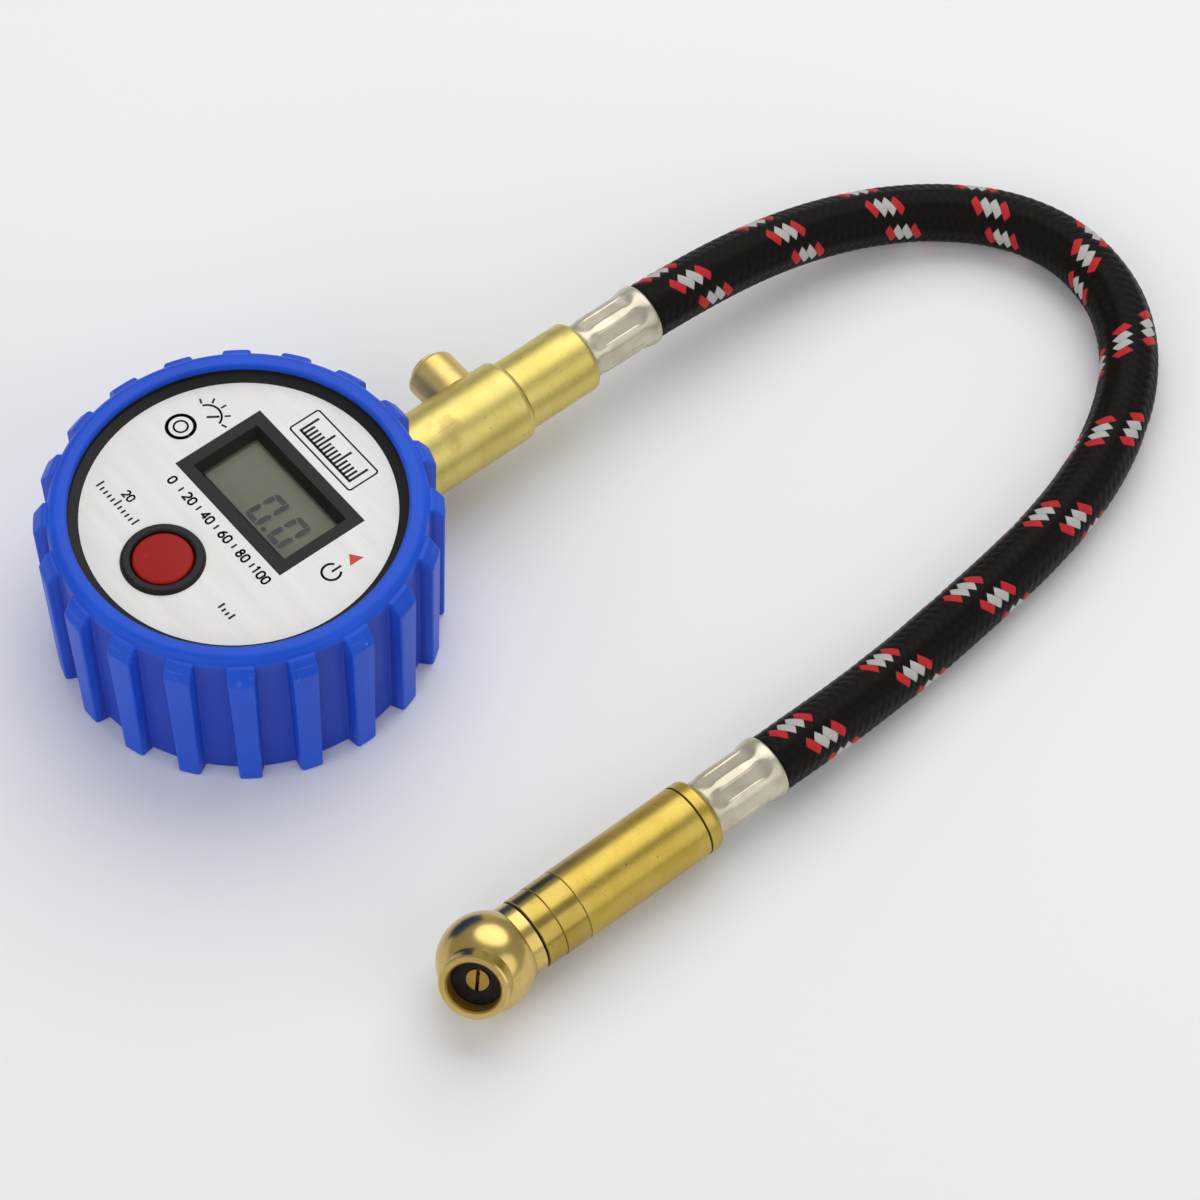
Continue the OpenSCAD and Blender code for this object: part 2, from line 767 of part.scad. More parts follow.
module case_front() {
    recess_r = plate_d / 2 + slip;
    pocket_w = window_w + 2 * window_ledge;
    pocket_h = window_h + 2 * window_ledge;
    color([0.13, 0.13, 0.13]) difference() {
        union() {
            rotate_extrude()
                polygon([[tongue_in, split_z - tongue_h], [case_in, split_z - tongue_h],
                         [case_in, split_z], [case_r, split_z], [case_r, case_top - rim_edge],
                         [case_r - rim_edge, case_top], [rim_step_r, case_top],
                         [rim_step_r, case_top - rim_step], [recess_r, plate_top],
                         [recess_r, deck_top],
                         [0, deck_top], [0, deck_z], [tongue_in, deck_z]]);
            intersection() {
                at_screws(board_top) cylinder(r = boss_r, h = deck_z - board_top + sliver);
                cylinder(r = case_in, h = case_top);
            }
            translate([0, frame_up, deck_z + sliver]) linear_extrude(plate_top - deck_z - sliver)
                square([frame_w, frame_h], center = true);
            button_collar();
        }
        display_funnel();
        translate([-pocket_w / 2, frame_up - pocket_h / 2, deck_z - over])
            cube([pocket_w, pocket_h, window_t + over]);
        translate([0, -button_down, deck_z - over])
            cylinder(r = button_d / 2 + button_hole_gap, h = case_h);
        at_screws(board_top - over) cylinder(r = screw_d / 2 + thread_gap, h = screw_hole_l + over);
    }
}

module face_plate() {
    color("gainsboro") difference() {
        translate([0, 0, deck_top]) cylinder(d = plate_d, h = plate_t);
        translate([0, frame_up, deck_top - over]) linear_extrude(plate_t + 2 * over)
            square([frame_w + 2 * slip, frame_h + 2 * slip], center = true);
        translate([0, -button_down, deck_top - over])
            cylinder(d = collar_d + 2 * slip, h = plate_t + 2 * over);
    }
}

module display_window() {
    w = window_w + 2 * (window_ledge - slip);
    h = window_h + 2 * (window_ledge - slip);
    color("lightcyan", 0.4) translate([-w / 2, frame_up - h / 2, deck_z]) cube([w, h, window_t]);
}

module lcd_panel() {
    w = window_w + lcd_extra_w;
    h = window_h + lcd_extra_h;
    color("darkseagreen") translate([-w / 2, frame_up - h / 2, lcd_z]) {
        cube([w, h, lcd_t / 2]);
        translate([0, lcd_step, 0]) cube([w, h - lcd_step, lcd_t]);
    }
}

module elastomer_strips() {
    l = window_w + lcd_extra_h;
    color("hotpink") for (side = [-1, 1])
        translate([-l / 2, frame_up + side * (window_h / 2 + strip_out) - strip_w / 2, board_top])
            cube([l, strip_w, strip_h]);
}

module case_screws() {
    shank_l = board_top + screw_bite - screw_seat;
    color("silver") at_screws(screw_seat) difference() {
        union() {
            translate([0, 0, -screw_head_h]) cylinder(r = screw_head_r, h = screw_head_h);
            cylinder(d = screw_d, h = shank_l);
        }
        for (a = [0, 90]) rotate([0, 0, a])
            translate([-cross_l / 2, -cross_w / 2, -screw_head_h - over])
                cube([cross_l, cross_w, cross_depth + over]);
    }
}

// ---------------------------------------------------------------- power button and board

module power_button() {
    r = button_d / 2;
    flange_r = r + flange_w;
    crown_r = r - button_round;
    dome_r = (crown_r * crown_r + button_crown * button_crown) / (2 * button_crown);
    dome_top = button_rim_z + button_round + button_crown;
    color("firebrick") translate([0, -button_down, 0]) rotate_extrude()
        polygon(concat([[0, button_seat], [button_stem_r, button_seat],
                        [button_stem_r, deck_z - flange_t], [flange_r, deck_z - flange_t],
                        [flange_r, deck_z], [r, deck_z]],
                       arc(crown_r, button_rim_z, button_round, 0, 80, 5),
                       arc(0, dome_top - dome_r, dome_r, 90 - asin(crown_r / dome_r), 90, 10)));
}

module switch_plunger() {
    color("black") translate([0, -button_down, button_seat - plunger_l])
        cylinder(r = plunger_r, h = plunger_l);
}

module tact_switch() {
    well_z = button_seat - plunger_l - button_travel - slip;
    color("silver") translate([0, -button_down, 0]) difference() {
        translate([-switch_w / 2, -switch_w / 2, board_top]) cube([switch_w, switch_w, switch_h]);
        translate([0, 0, well_z]) cylinder(r = plunger_r + slip, h = case_h);
    }
}

module circuit_board() {
    color("darkgreen") difference() {
        union() {
            translate([0, 0, board_z]) cylinder(r = tongue_in - board_gap, h = board_t);
            translate([-chip_w / 2, cavity_y - chip_w / 2, board_z - chip_t])
                cube([chip_w, chip_w, chip_t + sliver]);
            translate([part_x, cavity_y, board_z - part_t])
                cylinder(d = part_d, h = part_t + sliver, $fn = small_fn);
            for (x = block_x)
                translate([x - block_w / 2, block_y, board_top - sliver])
                    cube([block_w, block_l, block_t + sliver]);
        }
        at_screws(board_z - over) cylinder(r = screw_d / 2 + screw_gap, h = board_t + 2 * over);
    }
}

// ---------------------------------------------------------------- batteries

module battery_cells() {
    color("goldenrod") for (k = [0, 1]) {
        side = k == 0 ? 1 : -1;
        translate([-side * (cavity_l / 2 - contact_t - spring_room), cell_y[k], cell_z])
            rotate([0, side * 90, 0]) {
                cylinder(d = cell_d, h = cell_l - nub_l);
                cylinder(r = nub_r, h = cell_l);
            }
    }
}

// A contact blade standing at one end of the battery box, with its tab up to the board
module contact_blade(side, k) {
    x = side > 0 ? cavity_l / 2 - contact_t : -cavity_l / 2;
    translate([x, cell_y[k] - contact_w / 2, cell_z - contact_w / 2])
        cube([contact_t, contact_w, contact_w]);
    translate([x, contact_tab_y(k) - contact_tab_w / 2, cell_z])
        cube([contact_t, contact_tab_w, board_z - cell_z]);
}

module contact_springs() {
    color("silver") for (k = [0, 1]) {
        side = k == 0 ? -1 : 1;
        contact_blade(side, k);
        translate([side * (cavity_l / 2 - contact_t + spring_root), cell_y[k], cell_z])
            rotate([0, -side * 90, 0])
                coil(2, spring_wide_r, spring_narrow_r, spring_room + spring_root - press,
                     spring_wire_r);
    }
}

module contact_plates() {
    color("silver") for (k = [0, 1]) contact_blade(k == 0 ? 1 : -1, k);
}

module battery_cover() {
    color("dimgray") difference() {
        translate([0, 0, case_z]) linear_extrude(cover_t) cover_outline(slip);
        for (i = [0:2])
            translate([cavity_l / 2 - grip_in - i * grip_pitch, cavity_y - grip_l / 2,
                       case_z - over])
                cube([grip_w, grip_l, grip_depth + over]);
    }
}

// ---------------------------------------------------------------- brass body and sensor

module valve_body() {
    color("darkkhaki") difference() {
        union() {
            along_stem(spigot_y) cylinder(d = spigot_d, h = spigot_l + over);
            along_stem(shoulder_y) turned_bar(body_d / 2, body_l);
        }
        along_stem(spigot_y - over)
            cylinder(r = sensor_can_r + slip, h = sensor_can_l + sensor_ring + over);
        along_stem(spigot_y) cylinder(r = air_d / 2 + bore_extra, h = seam_y - spigot_y - over);
        along_stem(seam_y - adaptor_spigot_l - press)
            cylinder(r = adaptor_spigot_r + press, h = adaptor_spigot_l + over);
        along_bleed(bleed_seat_x) cylinder(r = bleed_d / 2 + slip, h = body_d);
        along_bleed(bleed_in - press) cylinder(r = bleed_thread_r + press, h = body_d);
        along_bleed(-bleed_chamber_end) cylinder(r = bleed_chamber_r, h = body_d / 2);
    }
}

module stem_nut() {
    color("darkkhaki") along_stem(boss_in_y - nut_t) difference() {
        cylinder(r = nut_r, h = nut_t);
        translate([0, 0, -over]) cylinder(d = spigot_d + 2 * press, h = nut_t + 2 * over);
        for (a = [0, 90]) rotate([0, 0, a])
            translate([-nut_r - over, -nut_slot_w / 2, -over])
                cube([2 * (nut_r + over), nut_slot_w, nut_slot_depth + over]);
    }
}

module pressure_sensor() {
    pin_z = stem_z + sensor_flange_r - sensor_pin_in;
    color("lightgray") {
        along_stem(sensor_back) {
            cylinder(r = sensor_flange_r, h = sensor_flange_t);
            cylinder(r = sensor_can_r, h = sensor_flange_t + sensor_can_l);
        }
        for (x = sensor_pin_x)
            translate([x, sensor_back + sensor_flange_t / 2, pin_z])
                cylinder(r = sensor_pin_r, h = board_z - pin_z, $fn = small_fn);
    }
}

module sensor_seal() {
    wire_r = sensor_ring / 2;
    color("black") along_stem(spigot_y + sensor_can_l + wire_r)
        seal_ring(sensor_can_r - 3 * wire_r, wire_r);
}

module hose_adaptor() {
    color("darkkhaki") difference() {
        union() {
            along_stem(seam_y) turned_bar(adaptor_d / 2, adaptor_l, adaptor_edge, fine_chamfer);
            along_stem(seam_y - adaptor_spigot_l)
                cylinder(r = adaptor_spigot_r, h = adaptor_spigot_l + over);
            along_stem(brass_end) barb();
        }
        along_stem(spigot_y) cylinder(d = air_d, h = brass_end + barb_l);
        along_stem(seam_y - (adaptor_spigot_l + seal_wire) / 2)
            groove(adaptor_spigot_r, seal_wire, seal_wire);
    }
}

module adaptor_seal() {
    color("black") along_stem(seam_y - adaptor_spigot_l / 2)
        seal_ring(adaptor_spigot_r - seal_wire / 2, seal_wire / 2);
}

// ---------------------------------------------------------------- bleed valve

module bleed_housing() {
    color("darkkhaki") difference() {
        union() {
            along_bleed(bleed_seat_x) turned_bar(bleed_d / 2, bleed_l, bleed_round, fine_chamfer);
            along_bleed(bleed_in) cylinder(r = bleed_thread_r, h = bleed_thread_l + over);
        }
        along_bleed(bleed_floor) cylinder(r = bleed_button_d / 2 + slip, h = body_d);
        along_bleed(bleed_in - over) cylinder(r = bleed_hole_r, h = body_d);
    }
}

module bleed_button() {
    cap = bleed_cap_in + bleed_proud;
    color("darkkhaki") along_bleed(bleed_cap_x - bleed_rim) difference() {
        turned_bar(bleed_button_d / 2, cap + bleed_rim, bleed_button_round, fine_chamfer);
        translate([0, 0, -over])
            cylinder(r = bleed_button_d / 2 - bleed_rim_t, h = bleed_rim + over);
        cylinder(r = bleed_stem_r + press, h = bleed_rim + bleed_stem_set + press);
    }
}

module bleed_stem() {
    color("darkkhaki") along_bleed(bleed_head_x) {
        cylinder(r = bleed_head_r, h = bleed_head_t);
        cylinder(r = bleed_stem_r, h = bleed_cap_x + bleed_stem_set - bleed_head_x);
    }
}

module bleed_seal() {
    color("black") along_bleed(bleed_in - bleed_head_t) difference() {
        cylinder(r = bleed_head_r, h = bleed_head_t);
        translate([0, 0, -over])
            cylinder(r = bleed_stem_r + press, h = bleed_head_t + 2 * over);
    }
}

module bleed_spring() {
    color("silver") along_bleed(bleed_floor + press)
        coil(5, bleed_spring_r, bleed_spring_r, bleed_spring_l - 2 * press, bleed_wire_r);
}

// ---------------------------------------------------------------- hose

module gauge_ferrule() {
    color("lightgray") along_stem(brass_end) ferrule();
}

module chuck_ferrule() {
    color("lightgray") along_chuck(tail_end) ferrule();
}

module hose() {
    color("black")
        hollow_tube(route, hose_d / 2, hose_bore / 2, crimp_d / 2, len(gauge_end), hose_sides);
}

// ---------------------------------------------------------------- chuck

module chuck_tail() {
    color("darkkhaki") along_chuck(tail_at) difference() {
        union() {
            turned_bar(barrel_d / 2, tail_l, adaptor_edge, fine_chamfer);
            translate([0, 0, -tail_nose_l]) cylinder(r = nose_r, h = tail_nose_l + over);
            translate([0, 0, tail_l]) barb();
        }
        translate([0, 0, -tail_nose_l - over])
            cylinder(d = air_d, h = tail_nose_l + tail_l + barb_l + 2 * over);
        translate([0, 0, -(tail_nose_l + seal_wire) / 2]) groove(nose_r, seal_wire, seal_wire);
    }
}

module tail_seal() {
    color("black") along_chuck(tail_at - tail_nose_l / 2)
        seal_ring(nose_r - seal_wire / 2, seal_wire / 2);
}

module chuck_barrel() {
    r = barrel_d / 2;
    color("darkkhaki") along_chuck(barrel_at) difference() {
        rotate_extrude()
            polygon([[0, 0], [r - barrel_edge, 0], [r, barrel_edge], [r, barrel_l - barrel_edge],
                     [r - barrel_edge, barrel_l], [0, barrel_l]]);
        translate([0, 0, -over]) cylinder(r = barrel_bore_r, h = barrel_l + 2 * over);
    }
}

module swivel_collar() {
    color("darkkhaki") along_chuck(swivel_at) difference() {
        union() {
            turned_bar(swivel_r, swivel_l, fine_chamfer, barrel_edge);
            cylinder(r = nose_r, h = swivel_l + swivel_nose_l);
        }
        translate([0, 0, -over])
            cylinder(r = shank_r + shank_run, h = swivel_l + swivel_nose_l + 2 * over);
        cylinder(r = gland_nose_r + press, h = gland_nose_l + slip);
    }
}

module gland_ring() {
    color("darkkhaki") along_chuck(gland_at) difference() {
        union() {
            turned_bar(gland_r, gland_l, fine_chamfer, gland_edge);
            cylinder(r = gland_nose_r, h = gland_l + gland_nose_l);
        }
        translate([0, 0, -over]) cylinder(r = shank_r + gland_run, h = gland_l + 2 * over);
    }
}

module chuck_head() {
    tube_r = mouth_d / 2;
    bore_r = mouth_bore / 2;
    color("darkkhaki") difference() {
        union() {
            along_chuck() {
                sphere(ball_r);
                cylinder(r = neck_r, h = neck_end);
                cylinder(r = shank_r, h = shank_end);
            }
            along_mouth() rotate_extrude()
                polygon([[0, 0], [tube_r, 0], [tube_r, mouth_reach - mouth_edge],
                         [tube_r - mouth_edge, mouth_reach], [0, mouth_reach]]);
        }
        along_mouth() rotate_extrude()
            polygon([[0, washer_z], [bore_r + washer_grip, washer_z],
                     [bore_r + washer_grip, washer_top + washer_play],
                     [bore_r, washer_top + washer_play],
                     [bore_r, mouth_reach - mouth_edge], [bore_r + mouth_edge, mouth_reach],
                     [bore_r + mouth_edge, mouth_reach + over], [0, mouth_reach + over]]);
        along_mouth(pin_root) cylinder(d = pin_d + 2 * press, h = mouth_reach);
        along_mouth() cylinder(r = chuck_air_r, h = mouth_reach);
        along_chuck() cylinder(r = chuck_air_r, h = shank_end + over);
        along_chuck() sphere(chuck_air_r + chuck_well);
        along_chuck(swivel_seal_at) groove(shank_r, seal_wire, seal_groove_l);
        along_chuck(clip_at - press) groove(shank_r, clip_depth, clip_t + 2 * press);
    }
}

module swivel_seal() {
    color("black") along_chuck(swivel_seal_at + seal_groove_l / 2)
        seal_ring(shank_r - seal_wire / 2, seal_wire / 2);
}

module swivel_clip() {
    color("silver") along_chuck(clip_at) difference() {
        cylinder(r = nose_r - clip_side, h = clip_t);
        translate([0, 0, -over])
            cylinder(r = shank_r - clip_depth + press, h = clip_t + 2 * over);
        translate([0, -clip_mouth / 2, -over]) cube([nose_r, clip_mouth, clip_t + 2 * over]);
    }
}

module chuck_washer() {
    color([0.1, 0.1, 0.1]) along_mouth(washer_z) difference() {
        cylinder(r = mouth_bore / 2 + washer_grip - press, h = washer_t);
        translate([0, 0, -over])
            cylinder(r = pin_d / 2 + washer_hole_gap, h = washer_t + 2 * over);
    }
}

module depressor_pin() {
    pin_l = washer_top + pin_proud - pin_root;
    color("darkkhaki") along_mouth(pin_root) difference() {
        cylinder(d = pin_d, h = pin_l);
        rotate([0, 0, slot_turn]) translate([-slot_w / 2, -pin_d, pin_l - slot_depth])
            cube([slot_w, 2 * pin_d, slot_depth + over]);
        translate([0, 0, -over]) cylinder(d = slot_w, h = pin_l);
    }
}

rubber_boot();
case_back();
case_front();
face_plate();
display_window();
lcd_panel();
elastomer_strips();
power_button();
switch_plunger();
tact_switch();
circuit_board();
battery_cells();
contact_springs();
contact_plates();
battery_cover();
case_screws();
stem_nut();
pressure_sensor();
sensor_seal();
valve_body();
bleed_housing();
bleed_button();
bleed_stem();
bleed_spring();
bleed_seal();
hose_adaptor();
adaptor_seal();
gauge_ferrule();
hose();
chuck_ferrule();
chuck_tail();
tail_seal();
chuck_barrel();
swivel_collar();
gland_ring();
chuck_head();
swivel_seal();
swivel_clip();
chuck_washer();
depressor_pin();
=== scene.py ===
import math

import bmesh
import bpy
from mathutils import Matrix, Vector


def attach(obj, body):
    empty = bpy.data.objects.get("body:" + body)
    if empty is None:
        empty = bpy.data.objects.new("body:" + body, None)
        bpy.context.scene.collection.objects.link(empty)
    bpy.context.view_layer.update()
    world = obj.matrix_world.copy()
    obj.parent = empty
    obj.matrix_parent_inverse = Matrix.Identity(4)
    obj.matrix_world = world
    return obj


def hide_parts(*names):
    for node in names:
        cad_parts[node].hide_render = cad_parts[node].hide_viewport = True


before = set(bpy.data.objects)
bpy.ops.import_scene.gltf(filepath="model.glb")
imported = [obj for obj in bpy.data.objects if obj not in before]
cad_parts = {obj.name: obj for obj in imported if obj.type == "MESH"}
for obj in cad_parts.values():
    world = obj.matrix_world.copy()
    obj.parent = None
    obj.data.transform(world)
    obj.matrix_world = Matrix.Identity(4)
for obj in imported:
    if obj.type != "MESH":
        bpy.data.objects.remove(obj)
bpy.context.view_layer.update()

MM = 0.001
TURN = 2 * math.pi

# -------- camera

CAMERA_PLACE = Vector((0.3420, -0.2117, 0.5979))
CAMERA_TARGET = Vector((0.0348, 0.0461, 0.0015))
CAMERA_LENS = 130.87
CAMERA_ROLL = math.radians(1.017)


def make_camera():
    bpy.ops.object.camera_add(location=CAMERA_PLACE)
    camera = bpy.context.object
    camera.name = "studio_camera"
    forward = (CAMERA_TARGET - CAMERA_PLACE).normalized()
    level = forward.cross(Vector((0, 0, 1))).normalized()
    upright = level.cross(forward)
    right = level * math.cos(CAMERA_ROLL) + upright * math.sin(CAMERA_ROLL)
    up = upright * math.cos(CAMERA_ROLL) - level * math.sin(CAMERA_ROLL)
    turn = Matrix((right, up, -forward)).transposed()
    camera.rotation_euler = turn.to_euler()
    camera.data.lens = CAMERA_LENS
    camera.data.sensor_width = 36
    camera.data.clip_start = 0.01
    camera.data.clip_end = 10
    bpy.context.scene.camera = camera


make_camera()

# -------- mesh helpers


def work_on(obj):
    """Makes this the one object that the next operators change."""
    bpy.ops.object.select_all(action="DESELECT")
    obj.select_set(True)
    bpy.context.view_layer.objects.active = obj


def finish_mesh(obj, angle):
    """Applies the object's place to its mesh and smooths all but its sharp edges."""
    work_on(obj)
    bpy.ops.object.transform_apply(location=True, rotation=True, scale=True)
    bpy.ops.object.shade_smooth_by_angle(angle=math.radians(angle))
    obj.select_set(False)


def mesh_object(name, points, faces):
    """A new object from points in metres and faces that point outwards."""
    mesh = bpy.data.meshes.new(name)
    mesh.from_pydata([tuple(p) for p in points], [], faces)
    mesh.validate()
    obj = bpy.data.objects.new(name, mesh)
    bpy.context.scene.collection.objects.link(obj)
    return obj


def apply_modifiers(obj):
    work_on(obj)
    for modifier in list(obj.modifiers):
        bpy.ops.object.modifier_apply(modifier=modifier.name)
    obj.select_set(False)


def settle_normals(obj):
    """Keeps broad faces flat beside their small rounded edges."""
    weigh = obj.modifiers.new("flat_faces", "WEIGHTED_NORMAL")
    weigh.keep_sharp = True
    weigh.weight = 60
    apply_modifiers(obj)


def grid_faces(rows, columns):
    """Faces between closed rings of points, the last ring joined to the first."""
    faces = []
    for i in range(rows):
        below = i * columns
        above = (i + 1) % rows * columns
        for j in range(columns):
            k = (j + 1) % columns
            faces.append((below + j, below + k, above + k, above + j))
    return faces


def arc(cx, cy, r, start, stop, steps):
    """Points on part of a circle, angles in degrees."""
    angles = [math.radians(start + (stop - start) * i / steps) for i in range(steps + 1)]
    return [(cx + r * math.cos(a), cy + r * math.sin(a)) for a in angles]


def mix(a, b, share):
    return a + (b - a) * share


def within(value):
    """The value, held between 0 and 1."""
    return max(0.0, min(1.0, value))


def dress(obj, body, finish):
    """Puts a piece on its body and gives it its finish."""
    obj.data.materials.clear()
    obj.data.materials.append(finish)
    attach(obj, body)


# -------- hose

HOSE_D = 10.0
HOSE_R = HOSE_D / 2
HOSE_BORE_R = 2.9
CRIMPED_R = 4.6
HOSE_ROUTE_MM = [
    (0, 70.8, 13), (0, 76.6, 13), (0, 83.1, 13), (0, 86, 13), (0.2, 93, 12.76),
    (0.3, 100.9, 11.89), (0.7, 108.7, 10.79), (1.5, 116.4, 9.45), (2.9, 124.1, 7.94),
    (5.1, 131.4, 6.68), (8.3, 138.1, 5.73), (12.3, 143.9, 5.1), (17.4, 148.6, 5.1),
    (23.4, 152.1, 5.1), (30.2, 154.1, 5.1), (37.6, 154.1, 5.1), (45.2, 152.1, 5.1),
    (52.4, 147.9, 5.1), (58.5, 142.1, 5.1), (63.4, 135.3, 5.1), (67.3, 127.9, 5.1),
    (70.2, 120.4, 5.1), (72.3, 112.8, 5.1), (73.8, 105.3, 5.1), (74.9, 97.9, 5.1),
    (75.8, 90.6, 5.1), (76.6, 83.3, 5.1), (77.4, 76.1, 5.22), (78, 68.7, 5.68),
    (78.7, 61.3, 6.55), (79.2, 53.9, 7.54), (79.4, 46.7, 8), (79.4, 43.5, 8),
    (79.4, 37, 8), (79.4, 31.2, 8),
]
HOSE_ROUTE = [Vector(p) * MM for p in HOSE_ROUTE_MM]
SLEEVE_L = 12.3      # length of hose inside each ferrule, where it is crimped thinner
ROUTE_STEPS = 12     # points between two neighbours on the route

# The braid: yarns run both ways round, each over two and under two
YARNS = 12           # yarns in each direction
LAY = 20.45          # length of hose for one turn of a yarn
BRAID_SHIFT = 0.107  # share of a yarn by which the second set is shifted
BRAID_RELIEF = 0.16  # how far the yarns stand out
TWIST = (0.008, 0.024)  # how far round the braid lies at the two ends, in turns
RING_STEPS = 132
RING_COUNT = 600
BORE_RINGS = 60


def catmull(a, b, c, d, t):
    """A point on the smooth curve from b to c."""
    return 0.5 * (2 * b + (c - a) * t + (2 * a - 5 * b + 4 * c - d) * t * t
                  + (3 * b - a - 3 * c + d) * t * t * t)


def smooth_route(points):
    """A smooth line through the points of the route."""
    ends = [2 * points[0] - points[1], *points, 2 * points[-1] - points[-2]]
    line = []
    for i in range(len(points) - 1):
        line += [catmull(*ends[i:i + 4], k / ROUTE_STEPS) for k in range(ROUTE_STEPS)]
    return [*line, points[-1]]


def spaced(line, count):
    """Points an equal distance apart along a line, and that distance."""
    along = [0.0]
    for a, b in zip(line, line[1:]):
        along.append(along[-1] + (b - a).length)
    step = along[-1] / (count - 1)
    points, k = [], 0
    for i in range(count):
        want = min(i * step, along[-1])
        while k < len(line) - 2 and along[k + 1] < want:
            k += 1
        share = (want - along[k]) / (along[k + 1] - along[k])
        points.append(line[k].lerp(line[k + 1], share))
    return points, step


def ring_axes(points, i):
    """Two directions square to the route: the one nearest to upright, and the level one."""
    ahead = points[min(i + 1, len(points) - 1)] - points[max(i - 1, 0)]
    level = Vector((0, 0, 1)).cross(ahead).normalized()
    return ahead.normalized().cross(level), level


def on_ring(centre, axes, share, r):
    """The point that lies this share of a turn round the centre, at this radius."""
    upright, level = axes
    a = TURN * share
    return centre + (upright * math.cos(a) + level * math.sin(a)) * (r * MM)


def wrapped(value, period):
    return (value + period / 2) % period - period / 2


def braid_height(along_mm, turn_share):
    """Height of the yarn that lies on top, from 0 at its edges to 1 along its middle."""
    one_way = YARNS * (along_mm / LAY + turn_share)
    other_way = YARNS * (along_mm / LAY - turn_share) - BRAID_SHIFT
    i, j = round(one_way), round(other_way)
    if (j - i) % 4 in (1, 2):
        across = one_way - i
        lengthwise = wrapped(other_way - i - 1.5, 4)
    else:
        across = other_way - j
        lengthwise = wrapped(one_way - j - 0.5, 4)
    hump = math.sqrt(max(0.0, 1 - (1.9 * across) ** 2))
    return hump * math.cos(lengthwise * math.pi / 2 * 0.8)


def make_hose():
    """The braided hose with its bore, the line that it follows and its length."""
    line = smooth_route(HOSE_ROUTE)
    outer, step = spaced(line, RING_COUNT)
    length = step * (RING_COUNT - 1)
    inner, _ = spaced(line, BORE_RINGS)
    points, marks = [], []
    for i, centre in enumerate(outer):
        axes = ring_axes(outer, i)
        along = i * step / MM
        to_end = min(along, length / MM - along)
        open_share = within(to_end - SLEEVE_L)
        base = mix(CRIMPED_R, HOSE_R - BRAID_RELIEF / 2, open_share)
        twist = mix(*TWIST, i / (RING_COUNT - 1))
        for j in range(RING_STEPS):
            share = j / RING_STEPS
            relief = (BRAID_RELIEF * braid_height(along - SLEEVE_L, share - twist)
                      * open_share)
            points.append(on_ring(centre, axes, share, base + relief))
        marks.append(((along - SLEEVE_L) / LAY, twist))
    for i in range(BORE_RINGS - 1, -1, -1):
        axes = ring_axes(inner, i)
        points += [on_ring(inner[i], axes, j / RING_STEPS, HOSE_BORE_R)
                   for j in range(RING_STEPS)]
        marks.append((0.0, 0.0))
    faces = grid_faces(RING_COUNT + BORE_RINGS, RING_STEPS)
    hose = mesh_object("braided_hose", points, [f[::-1] for f in faces])
    uv = hose.data.uv_layers.new(name="braid")
    for face in hose.data.polygons:
        columns = [hose.data.loops[k].vertex_index % RING_STEPS for k in face.loop_indices]
        seam = max(columns) - min(columns) > 1
        for k, column in zip(face.loop_indices, columns):
            row = hose.data.loops[k].vertex_index // RING_STEPS
            u = 1.0 if seam and column == 0 else column / RING_STEPS
            lays, twist = marks[row]
            uv.data[k].uv = (u - twist, lays)
    hose.data.shade_smooth()
    return hose, outer, length


braided_hose, hose_line, hose_length = make_hose()

# -------- node helpers


class Tree:
    """A node tree that is built up node by node."""

    def __init__(self, tree):
        self.tree = tree
        tree.nodes.clear()

    def add(self, kind, settings=None, **inputs):
        """A node, its settings, and its inputs by name: values or outputs of other nodes."""
        node = self.tree.nodes.new(kind)
        for key, value in (settings or {}).items():
            setattr(node, key, value)
        for key, value in inputs.items():
            key = key.replace("_", " ")
            socket = node.inputs[int(key[1:])] if key[1:].isdigit() else node.inputs[key]
            if isinstance(value, bpy.types.NodeSocket):
                self.tree.links.new(value, socket)
            else:
                socket.default_value = value
        return node

    def feed(self, values, sockets):
        """Links each value to its socket."""
        for value, socket in zip(values, sockets):
            self.tree.links.new(value, socket)

    def math(self, operation, a, b=0.0, c=0.0):
        node = self.add("ShaderNodeMath", {"operation": operation}, i0=a, i1=b, i2=c)
        return node.outputs[0]

    def plus(self, a, b):
        return self.math("ADD", a, b)

    def minus(self, a, b):
        return self.math("SUBTRACT", a, b)

    def times(self, a, b):
        return self.math("MULTIPLY", a, b)

    def vector(self, operation, output, **inputs):
        node = self.add("ShaderNodeVectorMath", {"operation": operation}, **inputs)
        return node.outputs[output]

    def ramp(self, value, low, high, to_low=0.0, to_high=1.0):
        """value from low to high, taken smoothly to the other range."""
        node = self.add("ShaderNodeMapRange", {"interpolation_type": "SMOOTHSTEP"},
                        Value=value, From_Min=low, From_Max=high, To_Min=to_low,
                        To_Max=to_high)
        return node.outputs[0]

    def spread(self, noise, to_low=0.0, to_high=1.0):
        """The usual range of a noise, taken to the other range."""
        return self.ramp(noise, 0.3, 0.7, to_low, to_high)

    def near(self, value, place, far, close, strength=1.0):
        """strength where value lies close to place, falling to 0 farther off."""
        return self.ramp(self.math("ABSOLUTE", self.minus(value, place)), far, close, 0.0,
                         strength)

    def colour(self, share, a, b):
        """The colour a where share is 0, and b where it is 1."""
        node = self.add("ShaderNodeMix", {"data_type": "RGBA"}, i0=share, i6=a, i7=b)
        return node.outputs[2]

    def noise(self, vector, scale, detail=2.0, roughness=0.5):
        node = self.add("ShaderNodeTexNoise", None, Vector=vector, Scale=scale,
                        Detail=detail, Roughness=roughness)
        return node.outputs[0]

    def place(self):
        return self.add("ShaderNodeTexCoord").outputs["Object"]

    def axes(self, vector):
        return self.add("ShaderNodeSeparateXYZ", None, Vector=vector).outputs

    def stretch(self, vector, scale):
        """The place scaled by its own amount along each axis, for a texture drawn out long."""
        return self.add("ShaderNodeMapping", {"vector_type": "POINT"}, Vector=vector,
                        Scale=scale).outputs[0]


